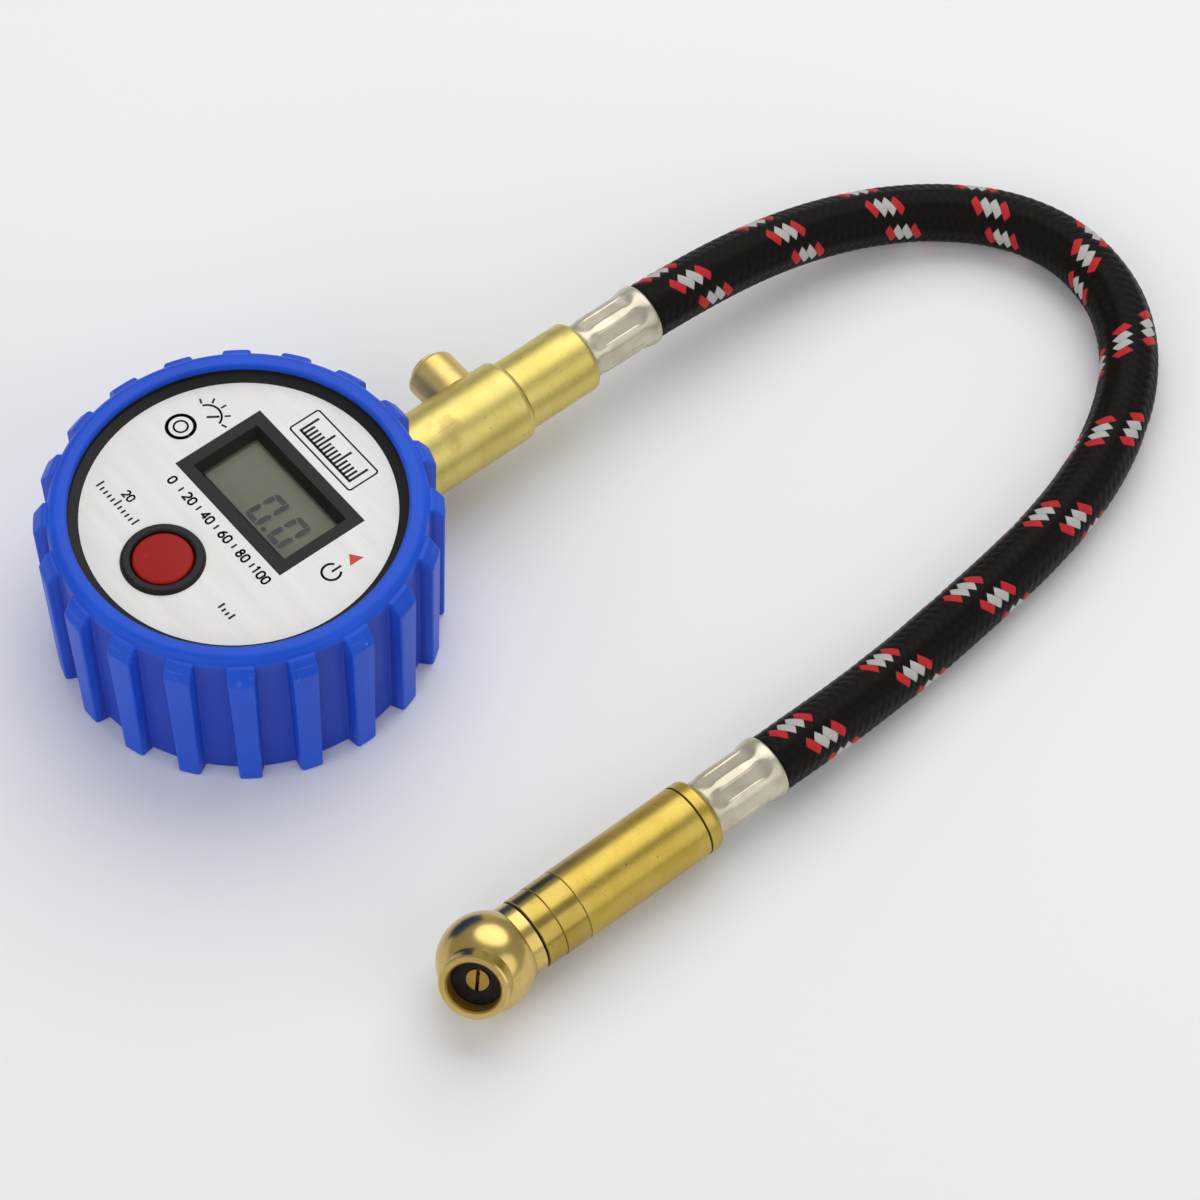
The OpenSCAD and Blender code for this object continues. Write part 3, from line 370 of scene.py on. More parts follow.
def group(name, inputs, outputs):
    """A new shader node group with named sockets, and its tree."""
    made = bpy.data.node_groups.new(name, "ShaderNodeTree")
    kinds = {"value": "NodeSocketFloat", "vector": "NodeSocketVector",
             "colour": "NodeSocketColor"}
    for label, kind, default in inputs:
        socket = made.interface.new_socket(label, in_out="INPUT", socket_type=kinds[kind])
        socket.default_value = default
    for label, kind in outputs:
        made.interface.new_socket(label, in_out="OUTPUT", socket_type=kinds[kind])
    tree = Tree(made)
    entry = made.nodes.new("NodeGroupInput")
    leave = made.nodes.new("NodeGroupOutput")
    return made, tree, entry.outputs, leave.inputs


def use(tree, made, **inputs):
    """Places a group in a tree and returns its outputs."""
    return tree.add("ShaderNodeGroup", {"node_tree": made}, **inputs).outputs


def srgb(r, g, b):
    """A colour as seen on a screen, 0 to 255, in linear values."""
    def linear(v):
        v /= 255
        return v / 12.92 if v <= 0.04045 else ((v + 0.055) / 1.055) ** 2.4
    return (linear(r), linear(g), linear(b), 1.0)


# -------- shared effects


def make_moulded_grain():
    """Fine texture of a moulded surface, with faint flow marks."""
    made, tree, inp, out = group(
        "moulded_grain",
        [("Grain", "value", 4000.0), ("Flow", "value", 90.0)],
        [("Height", "value"), ("Cloud", "value")])
    place = tree.place()
    fine = tree.noise(place, inp["Grain"], 3.0, 0.6)
    cloud = tree.noise(place, inp["Flow"], 3.0, 0.55)
    tree.feed((tree.plus(fine, tree.times(cloud, 0.6)), cloud), out)
    return made


def make_edge_wear():
    """Where edges are rubbed: 1 on worn edges, broken up by noise."""
    made, tree, inp, out = group(
        "edge_wear",
        [("Start", "value", 0.53), ("Full", "value", 0.6), ("Patch", "value", 500.0)],
        [("Mask", "value")])
    sharp = tree.add("ShaderNodeNewGeometry").outputs["Pointiness"]
    edge = tree.ramp(sharp, inp["Start"], inp["Full"])
    patch = tree.ramp(tree.noise(tree.place(), inp["Patch"], 4.0, 0.65), 0.42, 0.62)
    tree.feed([tree.times(edge, patch)], out)
    return made


def make_turning_marks():
    """Fine rings left by a lathe tool, square to the axis, with small pits and a stain."""
    made, tree, inp, out = group(
        "turning_marks",
        [("Axis", "vector", (0.0, 1.0, 0.0)), ("Fineness", "value", 5200.0)],
        [("Height", "value"), ("Rings", "value"), ("Stain", "value"), ("Pits", "value")])
    place = tree.place()
    along = tree.vector("DOT_PRODUCT", "Value", i0=place, i1=inp["Axis"])
    stretched = tree.vector("SCALE", 0, i0=inp["Axis"],
                            Scale=tree.times(along, inp["Fineness"]))
    base = tree.vector("SCALE", 0, i0=place, Scale=60.0)
    where = tree.vector("ADD", 0, i0=stretched, i1=base)
    rings = tree.noise(where, 1.0, 3.0, 0.6)
    stain = tree.noise(place, 110.0, 5.0, 0.6)
    pits = tree.ramp(tree.noise(place, 1300.0, 2.0, 0.5), 0.29, 0.24)
    height = tree.minus(rings, tree.times(pits, 1.5))
    tree.feed((height, rings, stain, pits), out)
    return made


def make_braid():
    """Yarns that pass over two and under two, from a UV map of turns and lays."""
    made, tree, inp, out = group(
        "braid", [("Turn", "value", 0.0), ("Lay", "value", 0.0)],
        [("Height", "value"), ("Fibres", "value"), ("Yarn", "value"), ("On top", "value")])
    one = tree.times(tree.plus(inp["Lay"], inp["Turn"]), YARNS)
    other = tree.minus(tree.times(tree.minus(inp["Lay"], inp["Turn"]), YARNS), BRAID_SHIFT)
    i = tree.math("ROUND", one)
    j = tree.math("ROUND", other)
    step = tree.math("FLOORED_MODULO", tree.minus(j, i), 4.0)
    first_over = tree.math("COMPARE", step, 1.5, 0.6)

    def pick(a, b):
        """a where the first set is on top, b elsewhere."""
        return tree.add("ShaderNodeMix", None, i0=first_over, i2=b, i3=a).outputs[0]

    across = pick(tree.minus(one, i), tree.minus(other, j))
    start = pick(tree.minus(other, tree.plus(i, 1.5)), tree.minus(one, tree.plus(j, 0.5)))
    lengthwise = tree.math("WRAP", start, -2.0, 2.0)
    square = tree.times(tree.times(across, across), 3.6)
    hump = tree.math("SQRT", tree.math("MAXIMUM", tree.minus(1.0, square), 0.0))
    bow = tree.math("COSINE", tree.times(lengthwise, 1.25))
    fibres = tree.math("SINE", tree.math("MULTIPLY_ADD", across, 34.0,
                                         tree.times(lengthwise, 1.4)))
    yarn = tree.math("FLOORED_MODULO", i, YARNS)
    tree.feed((tree.times(hump, bow), fibres, yarn, first_over), out)
    return made


moulded_grain = make_moulded_grain()
edge_wear = make_edge_wear()
turning_marks = make_turning_marks()
braid = make_braid()

# -------- materials


def material(name, build):
    """A material whose Principled shader is fed by build(tree), which returns its inputs."""
    made = bpy.data.materials.new(name)
    made.use_nodes = True
    tree = Tree(made.node_tree)
    inputs = build(tree)
    shader = tree.add("ShaderNodeBsdfPrincipled", None, **inputs)
    target = tree.add("ShaderNodeOutputMaterial")
    made.node_tree.links.new(shader.outputs[0], target.inputs[0])
    return made


def bump(tree, height, strength, distance_mm):
    return tree.add("ShaderNodeBump", None, Height=height, Strength=strength,
                    Distance=distance_mm * MM).outputs[0]


def moulded(colour, dark, worn, rough, grain=4000.0, depth=0.02, **extra):
    """A moulded rubber or plastic finish with grain, flow marks and rubbed edges."""
    def build(tree):
        marks = use(tree, moulded_grain, Grain=grain)
        wear = use(tree, edge_wear, Full=0.62)["Mask"]
        base = tree.colour(tree.spread(marks["Cloud"]), dark, colour)
        return {
            "Base_Color": tree.colour(tree.times(wear, 0.35), base, worn),
            "Roughness": tree.plus(tree.spread(marks["Cloud"], rough - 0.05, rough + 0.05),
                                   tree.times(wear, 0.12)),
            "Normal": bump(tree, marks["Height"], 0.35, depth),
            **extra,
        }
    return build


# Where the boot's finish changes, in metres from its axis and from the floor
WALL_FADE = (0.0315, 0.0307)
WALL_TOP_FADE = (0.0306, 0.0298)
CREST_FADE = (0.0316, 0.0321)
RUBBED_Z = 0.0285
PARTING_Z = 0.0296


def boot_finish(tree):
    """Satin blue rubber: matt and a darker blue between the ribs, rubbed on the rib ends, with a
    parting line.
    """
    marks = use(tree, moulded_grain, Grain=2600.0)
    x, y, z = tree.axes(tree.place())
    radius = tree.math("SQRT", tree.plus(tree.times(x, x), tree.times(y, y)))
    on_wall = tree.times(tree.ramp(radius, *WALL_FADE), tree.ramp(z, *WALL_TOP_FADE))
    smooth = tree.colour(tree.spread(marks["Cloud"]), srgb(11, 76, 204), srgb(15, 84, 216))
    base = tree.colour(on_wall, smooth, srgb(28, 66, 184))
    rubbed = tree.times(tree.near(z, RUBBED_Z, 0.0011, 0.0004),
                        tree.ramp(tree.noise(tree.place(), 900.0, 5.0, 0.7), 0.6, 0.68))
    parting = tree.times(tree.near(z, PARTING_Z, 0.00013, 0.00005),
                         tree.ramp(tree.noise(tree.place(), 260.0, 2.0, 0.5), 0.45, 0.6))
    scuffed = tree.math("MAXIMUM", tree.times(rubbed, tree.ramp(radius, *CREST_FADE)),
                        tree.times(parting, 0.35))
    dull = tree.times(tree.math("MAXIMUM", on_wall, scuffed), 0.14)
    return {
        "Base_Color": tree.colour(tree.times(scuffed, 0.55), base, srgb(120, 150, 215)),
        "Roughness": tree.plus(tree.spread(marks["Cloud"], 0.38, 0.46), dull),
        "Specular_IOR_Level": 0.3,
        "Normal": bump(tree, tree.plus(marks["Height"], tree.times(scuffed, 0.5)), 0.25, 0.02),
    }


RING_TONE = srgb(170, 146, 72)
TARNISH_TONE = srgb(150, 122, 66)
PIT_TONE = srgb(84, 64, 28)
SCRATCH_TONE = srgb(140, 116, 54)
SEAM_TONE = srgb(44, 32, 14)
BORE_SHADE_TONE = srgb(176, 140, 66)
MOUTH_AXIS = (0.5, -0.70711, 0.5)
BALL_CENTRE = (0.0794, -0.0128, 0.008)


def brass(axis, tones, rough=0.4, seams=(), polish=0.06, drawn=None, bore=False, grain=0.05):
    """Turned brass: faint tool rings, a mottled tint, pits, drawn scratches, dark seams."""
    def build(tree):
        place = tree.place()
        marks = use(tree, turning_marks, Axis=axis)
        mottle = tree.noise(place, 2300.0, 4.0, 0.7)
        tint = tree.math("MULTIPLY_ADD", mottle, grain * 8,
                         tree.times(marks["Stain"], 1 - grain * 8))
        tone = tree.colour(tree.ramp(tint, 0.38, 0.62), *tones)
        ringed = tree.colour(tree.spread(marks["Rings"], 0.0, 0.12), tone, RING_TONE)
        tarnish = tree.ramp(marks["Stain"], 0.58, 0.74, 0.0, 0.35)
        stained = tree.colour(tarnish, ringed, TARNISH_TONE)
        shown = tree.colour(tree.times(marks["Pits"], 0.75), stained, PIT_TONE)
        height = marks["Height"]
        spots = tree.ramp(mottle, 0.35, 0.65, rough - grain, rough + grain)
        dull = tree.math("MULTIPLY_ADD", tarnish, 0.2, spots)
        if drawn:
            lines = tree.ramp(tree.noise(tree.stretch(place, drawn), 1.0, 3.0, 0.7), 0.6, 0.7)
            shown = tree.colour(tree.times(lines, 0.3), shown, SCRATCH_TONE)
            height = tree.math("MULTIPLY_ADD", lines, -0.6, height)
        if seams:
            seam_dark = seam_darkening(tree, tree.axes(place)[1], seams)
            shown = tree.colour(seam_dark, shown, SEAM_TONE)
            dull = tree.math("MULTIPLY_ADD", seam_dark, 0.3, dull)
        # the inside of the chuck's mouth: a rougher finish, and a darker brown tone as painted
        # shade
        if bore:
            inside = mouth_bore_mask(tree, place)
            shown = tree.colour(inside, shown, BORE_SHADE_TONE)
            dull = tree.math("MULTIPLY_ADD", inside, 0.4, dull)
        return {
            "Base_Color": shown,
            "Metallic": 1.0,
            "Roughness": dull,
            "Normal": bump(tree, height, polish, 0.01),
        }
    return build


def mouth_bore_mask(tree, place):
    """1 on the inside wall of the chuck's mouth, which isn't polished and is painted a darker
    brown as shade.
    """
    from_ball = tree.vector("SUBTRACT", 0, i0=place, i1=BALL_CENTRE)
    along = tree.vector("DOT_PRODUCT", "Value", i0=from_ball, i1=MOUTH_AXIS)
    far = tree.vector("LENGTH", "Value", i0=from_ball)
    square = tree.minus(tree.times(far, far), tree.times(along, along))
    aside = tree.math("SQRT", tree.math("MAXIMUM", square, 0.0))
    return tree.times(tree.ramp(aside, 0.00475, 0.00445), tree.ramp(along, 0.0045, 0.005))


def seam_darkening(tree, y, seams):
    """Dark lines along the joints of turned pieces: place on Y and half width in mm, strength.
    """
    darkened = [tree.near(y, place * MM, half * MM, half * 0.45 * MM, strength)
            for place, half, strength in seams]
    most = darkened[0]
    for other in darkened[1:]:
        most = tree.math("MAXIMUM", most, other)
    return most


def plated(colour, dark, rough):
    """A plated or drawn metal finish, softly uneven."""
    def build(tree):
        place = tree.place()
        cloud = tree.noise(place, 260.0, 3.0, 0.55)
        fine = tree.noise(place, 3640.0, 2.0, 0.6)
        return {
            "Base_Color": tree.colour(tree.ramp(cloud, 0.35, 0.65), dark, colour),
            "Metallic": 1.0,
            "Roughness": tree.spread(fine, rough * 0.95, rough * 1.06),
            "Normal": bump(tree, cloud, 0.1, 0.006),
        }
    return build


def brushed_plate(tree):
    """White-silver foil, brushed along the reading direction."""
    place = tree.place()
    brush = tree.noise(tree.stretch(place, (45.0, 5200.0, 200.0)), 1.0, 4.0, 0.65)
    band = tree.noise(tree.stretch(place, (60.0, 420.0, 200.0)), 1.0, 3.0, 0.5)
    lines = tree.plus(tree.times(brush, 0.6), tree.times(band, 0.4))
    return {
        "Base_Color": tree.colour(tree.ramp(lines, 0.36, 0.64), srgb(222, 220, 215),
                                  srgb(233, 231, 226)),
        "Metallic": 0.2,
        "Roughness": tree.spread(brush, 0.4, 0.54),
        "Normal": bump(tree, brush, 0.12, 0.01),
    }


def braided(tree):
    """Black braid with one group of tracer yarns: red, white, white, red; each yarn's colour has
    painted shade towards its edges and ends, where it dips under the crossing yarns.
    """
    turn, lay, _ = tree.axes(tree.add("ShaderNodeUVMap", {"uv_map": "braid"}).outputs[0])
    weave = use(tree, braid, Turn=turn, Lay=lay)
    middle = tree.math("COMPARE", weave["Yarn"], 4.5, 0.6)
    group_of_four = tree.math("COMPARE", weave["Yarn"], 4.5, 1.6)
    # painted shade: every yarn's colour darkens from its top towards its edges and ends, where
    # it dips under its neighbours
    shade = tree.ramp(weave["Height"], 0.0, 0.45)
    fuzz = tree.noise(tree.place(), 6000.0, 2.0, 0.6)
    black = tree.colour(shade, srgb(4, 3, 2), srgb(15, 12, 9))
    red = tree.colour(shade, srgb(92, 14, 18), srgb(196, 44, 48))
    white = tree.colour(shade, srgb(96, 94, 92), srgb(190, 189, 184))
    tracer = tree.colour(middle, red, white)
    woven = tree.colour(tree.times(group_of_four, weave["On top"]), black, tracer)
    rough = tree.plus(tree.times(weave["Fibres"], 0.10), tree.times(fuzz, 0.12))
    height = tree.plus(weave["Height"], rough)
    return {
        "Base_Color": tree.colour(tree.times(fuzz, 0.1), woven, srgb(32, 28, 25)),
        "Roughness": tree.spread(fuzz, 0.36, 0.5),
        "Specular_IOR_Level": 0.1,
        "Normal": bump(tree, height, 0.7, 0.18),
    }


def clear_window(tree):
    """Thin clear plastic with faint marks of wiping."""
    haze = tree.noise(tree.place(), 700.0, 3.0, 0.6)
    return {
        "Base_Color": srgb(250, 252, 250),
        "Roughness": tree.spread(haze, 0.03, 0.08),
        "IOR": 1.49,
        "Alpha": tree.spread(haze, 0.015, 0.03),
        "Normal": bump(tree, haze, 0.02, 0.01),
    }


def display_glass(tree):
    """Grey-green ground of the display, faintly cloudy."""
    cloud = tree.noise(tree.place(), 60.0, 2.0, 0.5)
    fine = tree.noise(tree.place(), 5000.0, 2.0, 0.5)
    return {
        "Base_Color": tree.colour(tree.spread(cloud), srgb(97, 97, 75), srgb(104, 104, 82)),
        "Roughness": tree.spread(fine, 0.4, 0.5),
        "Normal": bump(tree, fine, 0.05, 0.01),
    }


def board(tree):
    """Green solder mask over faint copper tracks."""
    place = tree.place()
    tracks = tree.add("ShaderNodeTexBrick", {"offset": 0.5}, Vector=place, Scale=260.0,
                      Mortar_Size=0.03).outputs["Fac"]
    cloud = tree.noise(place, 300.0, 2.0, 0.5)
    return {
        "Base_Color": tree.colour(tracks, srgb(16, 92, 50), srgb(44, 128, 74)),
        "Roughness": tree.spread(cloud, 0.3, 0.42),
        "Normal": bump(tree, tracks, 0.3, 0.03),
    }


def cell_wrap(tree):
    """Foil wrap of a cell: a dark can with a copper-coloured end."""
    place = tree.place()
    scuff = tree.noise(place, 900.0, 3.0, 0.6)
    end = tree.ramp(tree.axes(place)[0], 0.010, 0.0105)
    return {
        "Base_Color": tree.colour(end, srgb(34, 34, 38), srgb(196, 128, 62)),
        "Metallic": 0.6,
        "Roughness": tree.spread(scuff, 0.28, 0.4),
        "Normal": bump(tree, scuff, 0.1, 0.01),
    }


def ink_and_painted_shadow(colour, dark, **extra):
    """Printed ink, slightly uneven; also the flat darker tone of the painted shadow that the
    display's segments cast on its ground.
    """
    def build(tree):
        cloud = tree.noise(tree.place(), 2500.0, 2.0, 0.6)
        return {
            "Base_Color": tree.colour(tree.spread(cloud), dark, colour),
            "Roughness": tree.spread(cloud, 0.42, 0.55),
            "Normal": bump(tree, cloud, 0.1, 0.01),
            **extra,
        }
    return build


ALONG_X = (1.0, 0.0, 0.0)
ALONG_Y = (0.0, 1.0, 0.0)

boot_rubber = material("blue_boot_rubber", boot_finish)
black_plastic = material("black_case_plastic", moulded(
    srgb(33, 31, 29), srgb(27, 25, 23), srgb(70, 67, 62), 0.42, grain=5200.0, depth=0.01,
    Specular_IOR_Level=0.22))
red_plastic = material("red_button_plastic", moulded(
    srgb(168, 26, 18), srgb(158, 22, 15), srgb(184, 60, 48), 0.46, grain=5200.0,
    depth=0.008, Specular_IOR_Level=0.16))
black_rubber = material("black_seal_rubber", moulded(
    srgb(22, 20, 15), srgb(16, 15, 11), srgb(60, 58, 52), 0.6, grain=3600.0,
    Specular_IOR_Level=0.25))
pink_rubber = material("pink_strip_rubber", moulded(
    srgb(222, 140, 160), srgb(206, 120, 144), srgb(236, 190, 200), 0.55))
white_plate = material("brushed_white_plate", brushed_plate)
clear_plastic = material("clear_window_plastic", clear_window)
display_ground = material("display_ground", display_glass)
display_ink = material("display_segments", ink_and_painted_shadow(srgb(32, 31, 27), srgb(27, 26, 23)))
# painted shadow of the display's segments: a darker tone of the display's ground, not ink
display_shade = material("display_segment_shade", ink_and_painted_shadow(srgb(90, 90, 72),
                                                            srgb(85, 85, 69)))
black_ink = material("black_print", ink_and_painted_shadow(srgb(30, 27, 25), srgb(22, 20, 19),
                                              Specular_IOR_Level=0.2))
red_ink = material("red_print", ink_and_painted_shadow(srgb(214, 52, 46), srgb(200, 44, 40)))
DRAWN_ALONG_Y = (3600.0, 90.0, 3600.0)
DRAWN_ALONG_X = (90.0, 3600.0, 3600.0)
PALE_BRASS = (srgb(213, 194, 106), srgb(224, 207, 125))
DEEP_BRASS = (srgb(188, 160, 70), srgb(202, 177, 90))
DARK_BRASS = (srgb(174, 148, 66), srgb(186, 162, 83))
VALVE_BRASS = (srgb(220, 192, 114), srgb(229, 203, 130))
BRIGHT_BRASS = (srgb(206, 178, 102), srgb(217, 191, 117))
brass_body = material("turned_brass_body", brass(
    ALONG_Y, PALE_BRASS, rough=0.4, seams=[(55.1, 0.14, 0.6)], drawn=DRAWN_ALONG_Y))
brass_barrel = material("turned_brass_barrel", brass(
    ALONG_Y, DEEP_BRASS, rough=0.33, seams=[(27.4, 0.27, 0.85), (3.1, 0.12, 0.6)],
    drawn=DRAWN_ALONG_Y, grain=0.03))
brass_collar = material("turned_brass_collar", brass(
    ALONG_Y, DARK_BRASS, rough=0.23, grain=0.015,
    seams=[(-5.2, 0.22, 0.85), (-1.6, 0.14, 0.6), (3.1, 0.12, 0.5)]))
brass_across = material("turned_brass_valve", brass(
    ALONG_X, VALVE_BRASS, rough=0.4, drawn=DRAWN_ALONG_X, grain=0.03))
brass_head = material("turned_brass_head", brass(
    MOUTH_AXIS, BRIGHT_BRASS, rough=0.23, polish=0.03, bore=True, grain=0.012))
brass_pin = material("turned_brass_pin", brass(MOUTH_AXIS, (srgb(168, 132, 58),
                                                            srgb(182, 146, 70)),
                                               rough=0.42, polish=0.25))
nickel = material("nickel_plated_ferrule", plated(srgb(212, 205, 184), srgb(194, 186, 164),
                                                  0.36))
screw_steel = material("zinc_plated_screw", plated(srgb(198, 200, 204), srgb(160, 162, 168),
                                                   0.26))
spring_steel = material("spring_steel", plated(srgb(190, 190, 188), srgb(150, 150, 150), 0.22))
sensor_metal = material("sensor_can_steel", plated(srgb(208, 206, 200), srgb(176, 174, 170),
                                                   0.2))
green_board = material("green_circuit_board", board)
cell_foil = material("cell_foil", cell_wrap)
hose_braid = material("black_braid_with_tracers", braided)

FINISHES = [
    (boot_rubber, "rubber_boot"),
    (black_plastic, "case_back case_front battery_cover switch_plunger"),
    (red_plastic, "power_button"),
    (black_rubber, "sensor_seal bleed_seal adaptor_seal tail_seal swivel_seal chuck_washer"),
    (pink_rubber, "elastomer_strips"),
    (white_plate, "face_plate"),
    (clear_plastic, "display_window"),
    (display_ground, "lcd_panel"),
    (brass_body, "stem_nut valve_body hose_adaptor"),
    (brass_barrel, "chuck_tail chuck_barrel"),
    (brass_collar, "swivel_collar gland_ring"),
    (brass_across, "bleed_housing bleed_button bleed_stem"),
    (brass_head, "chuck_head"),
    (brass_pin, "depressor_pin"),
    (nickel, "gauge_ferrule chuck_ferrule"),
    (screw_steel, "case_screws"),
    (spring_steel, "tact_switch contact_springs contact_plates bleed_spring swivel_clip"),
    (sensor_metal, "pressure_sensor"),
    (green_board, "circuit_board"),
    (cell_foil, "battery_cells"),
    (hose_braid, "hose"),
]


def finish_nodes():
    """Gives every piece of the CAD model its finish."""
    for finish, names in FINISHES:
        for name in names.split():
            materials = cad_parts[name].data.materials
            materials.clear()
            materials.append(finish)


bpy.ops.object.select_all(action="DESELECT")
finish_nodes()
dress(braided_hose, "gauge", hose_braid)
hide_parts("hose")

# -------- rubber boot

RIBS = 20
WALL_R = 30.5        # wall at the shoulder
RIB_R = 32.8         # rib crest where its ramp starts
DRAFT = 0.7          # how far both draw in down to the foot
LIP_R = 27.2
SEAT_R = 28.2
WINDOW_R = 25.0
BASE_Z = 3.5
CASE_TOP = 30.7
BOOT_TOP = 31.9
SHOULDER_Z = 30.1
SHOULDER_ROUND = 1.8
LIP_ROUND = 0.5
WALL_FOOT_ROUND = 0.7
RIB_FOOT_ROUND = 0.6
RAMP_Z = 28.3
RIB_TOP = 30.75      # the flat end of each rib, just under the shoulder
ROOT_HALF = 2.1      # half width of a rib at the wall
CREST_HALF = 1.85    # and at its crest
RIB_SPREAD = 0.3     # how much wider each half of a rib is at its upper end
CREST_ROUND = 0.4
ROOT_FILLET = 0.3
STEM_Z = 13.0        # height of the brass stem's axis
STEM_HOLE_R = 7.5


def rib_section():
    """Half of one rib and half of the gap beside it: distance from the centre, and aside."""
    gap_edge = ROOT_HALF + ROOT_FILLET
    points = [(WALL_R, WALL_R * math.sin(math.radians(a))) for a in (9, 7.6, 6.2)]
    points += [(WALL_R + ROOT_FILLET * (1 - math.cos(math.radians(a))),
                gap_edge - ROOT_FILLET * math.sin(math.radians(a))) for a in (0, 30, 60, 85)]
    points += arc(RIB_R - CREST_ROUND, CREST_HALF - CREST_ROUND, CREST_ROUND, 80, 8, 4)
    points += [(RIB_R, CREST_HALF * 0.35), (RIB_R, 0.0)]
    return points


def wall_at(z):
    """Radius of the wall at a height: it draws in towards the foot."""
    return WALL_R - DRAFT * (SHOULDER_Z - z) / SHOULDER_Z


def crest_at(z):
    """Radius of the ribs' crests at a height."""
    return RIB_R - DRAFT * (RAMP_Z - z) / RAMP_Z


def boot_levels():
    """Round the boot's section: (wall radius, wall height, rib radius, rib height)."""
    levels = [(WINDOW_R, 0.35, WINDOW_R, 0.35), (WINDOW_R + 0.35, 0, WINDOW_R + 0.35, 0),
              (27.5, 0, 27.5, 0), (28.7, 0, 30.7, 0)]
    wall_r, rib_r = WALL_FOOT_ROUND, RIB_FOOT_ROUND
    foot = zip(arc(wall_at(wall_r) - wall_r, wall_r, wall_r, -80, 0, 4),
               arc(crest_at(rib_r) - rib_r, rib_r, rib_r, -80, 0, 4))
    levels += [(*wall, *crest) for wall, crest in foot]
    levels += [(wall_at(z), z, crest_at(z), z) for z in (4, 9, 14, 19, 24, 27.5)]
    wall = [(wall_at(z), z) for z in (27.9, 28.2, 28.5, 29.3)]
    wall += arc(WALL_R - SHOULDER_ROUND, SHOULDER_Z, SHOULDER_ROUND, 0, 21, 3)
    rib = [(RIB_R, RAMP_Z - 0.2), (RIB_R - 0.05, RAMP_Z + 0.08), (RIB_R - 0.22, RAMP_Z + 0.38),
           (RIB_R - 0.9, RAMP_Z + 1.4), (RIB_R - 1.5, RAMP_Z + 2.28),
           (RIB_R - 1.64, RAMP_Z + 2.4), (RIB_R - 1.85, RIB_TOP), (WALL_R - 0.1, RIB_TOP + 0.02)]
    levels += [(*low, *high) for low, high in zip(wall, rib)]
    shoulder = arc(WALL_R - SHOULDER_ROUND, SHOULDER_Z, SHOULDER_ROUND, 27, 90, 7)
    bead = arc(LIP_R + LIP_ROUND, BOOT_TOP - LIP_ROUND, LIP_ROUND, 90, 180, 4)
    inside = [(LIP_R, CASE_TOP), (SEAT_R, CASE_TOP), (SEAT_R, 15), (SEAT_R, BASE_Z),
              (WINDOW_R, BASE_Z)]
    levels += [(r, z, r, z) for r, z in shoulder + bead + inside]
    return levels


def rib_aside(aside, share, reach, wall_r, z):
    """Where a point of the rib's section lies aside: ribs are wide at the root and higher up."""
    stand = within((reach - wall_r) / (RIB_R - WALL_R))
    widen = mix(ROOT_HALF, CREST_HALF, stand) / mix(ROOT_HALF, CREST_HALF, share)
    gap_middle = WALL_R * math.sin(math.pi / RIBS)
    near = min(1.0, abs(aside) / CREST_HALF)
    fade = within((gap_middle - abs(aside)) / (gap_middle - ROOT_HALF - ROOT_FILLET))
    spread = RIB_SPREAD * min(1.0, z / RAMP_Z) * near * fade
    return aside * (widen if share > 0 else 1.0) + math.copysign(spread, aside)


def make_boot():
    """The ribbed rubber boot, lofted round the gauge, with the hole for the brass stem."""
    half = rib_section()
    section = half + [(r, -aside) for r, aside in half[-2:0:-1]]
    points = []
    for wall_r, wall_z, rib_r, rib_z in boot_levels():
        for i in range(RIBS):
            for r, aside in section:
                share = (r - WALL_R) / (RIB_R - WALL_R)
                reach = mix(wall_r, rib_r, share)
                z = mix(wall_z, rib_z, share)
                placed = rib_aside(aside, share, reach, wall_r, z)
                a = TURN * i / RIBS - math.asin(placed / r)
                points.append(Vector((reach * math.cos(a), reach * math.sin(a), z)) * MM)
    columns = RIBS * len(section)
    faces = grid_faces(len(points) // columns, columns)
    boot = mesh_object("blue_rubber_boot", points, faces)
    bpy.ops.mesh.primitive_cylinder_add(vertices=96, radius=STEM_HOLE_R * MM, depth=14 * MM,
                                        location=(0, 32 * MM, STEM_Z * MM),
                                        rotation=(math.pi / 2, 0, 0))
    cutter = bpy.context.object
    cut = boot.modifiers.new("stem_hole", "BOOLEAN")
    cut.operation = "DIFFERENCE"
    cut.solver = "EXACT"
    cut.object = cutter
    apply_modifiers(boot)
    bpy.data.objects.remove(cutter)
    finish_mesh(boot, 50)
    settle_normals(boot)
    dress(boot, "gauge", boot_rubber)
    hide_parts("rubber_boot")


make_boot()

# -------- ferrules

ROUND_R = 5.2
FLAT_R = 4.94
NECK_R = 5.0
FLARE_R = 5.45
CRIMP_BORE_R = 4.74
PIPE_BORE_R = 3.25
JAWS = 8
HALF_JAW = 180 / JAWS


def plain(levels):
    """Levels without a pressed flat, from heights and radii."""
    return [(along, r, r, HALF_JAW) for along, r in levels]


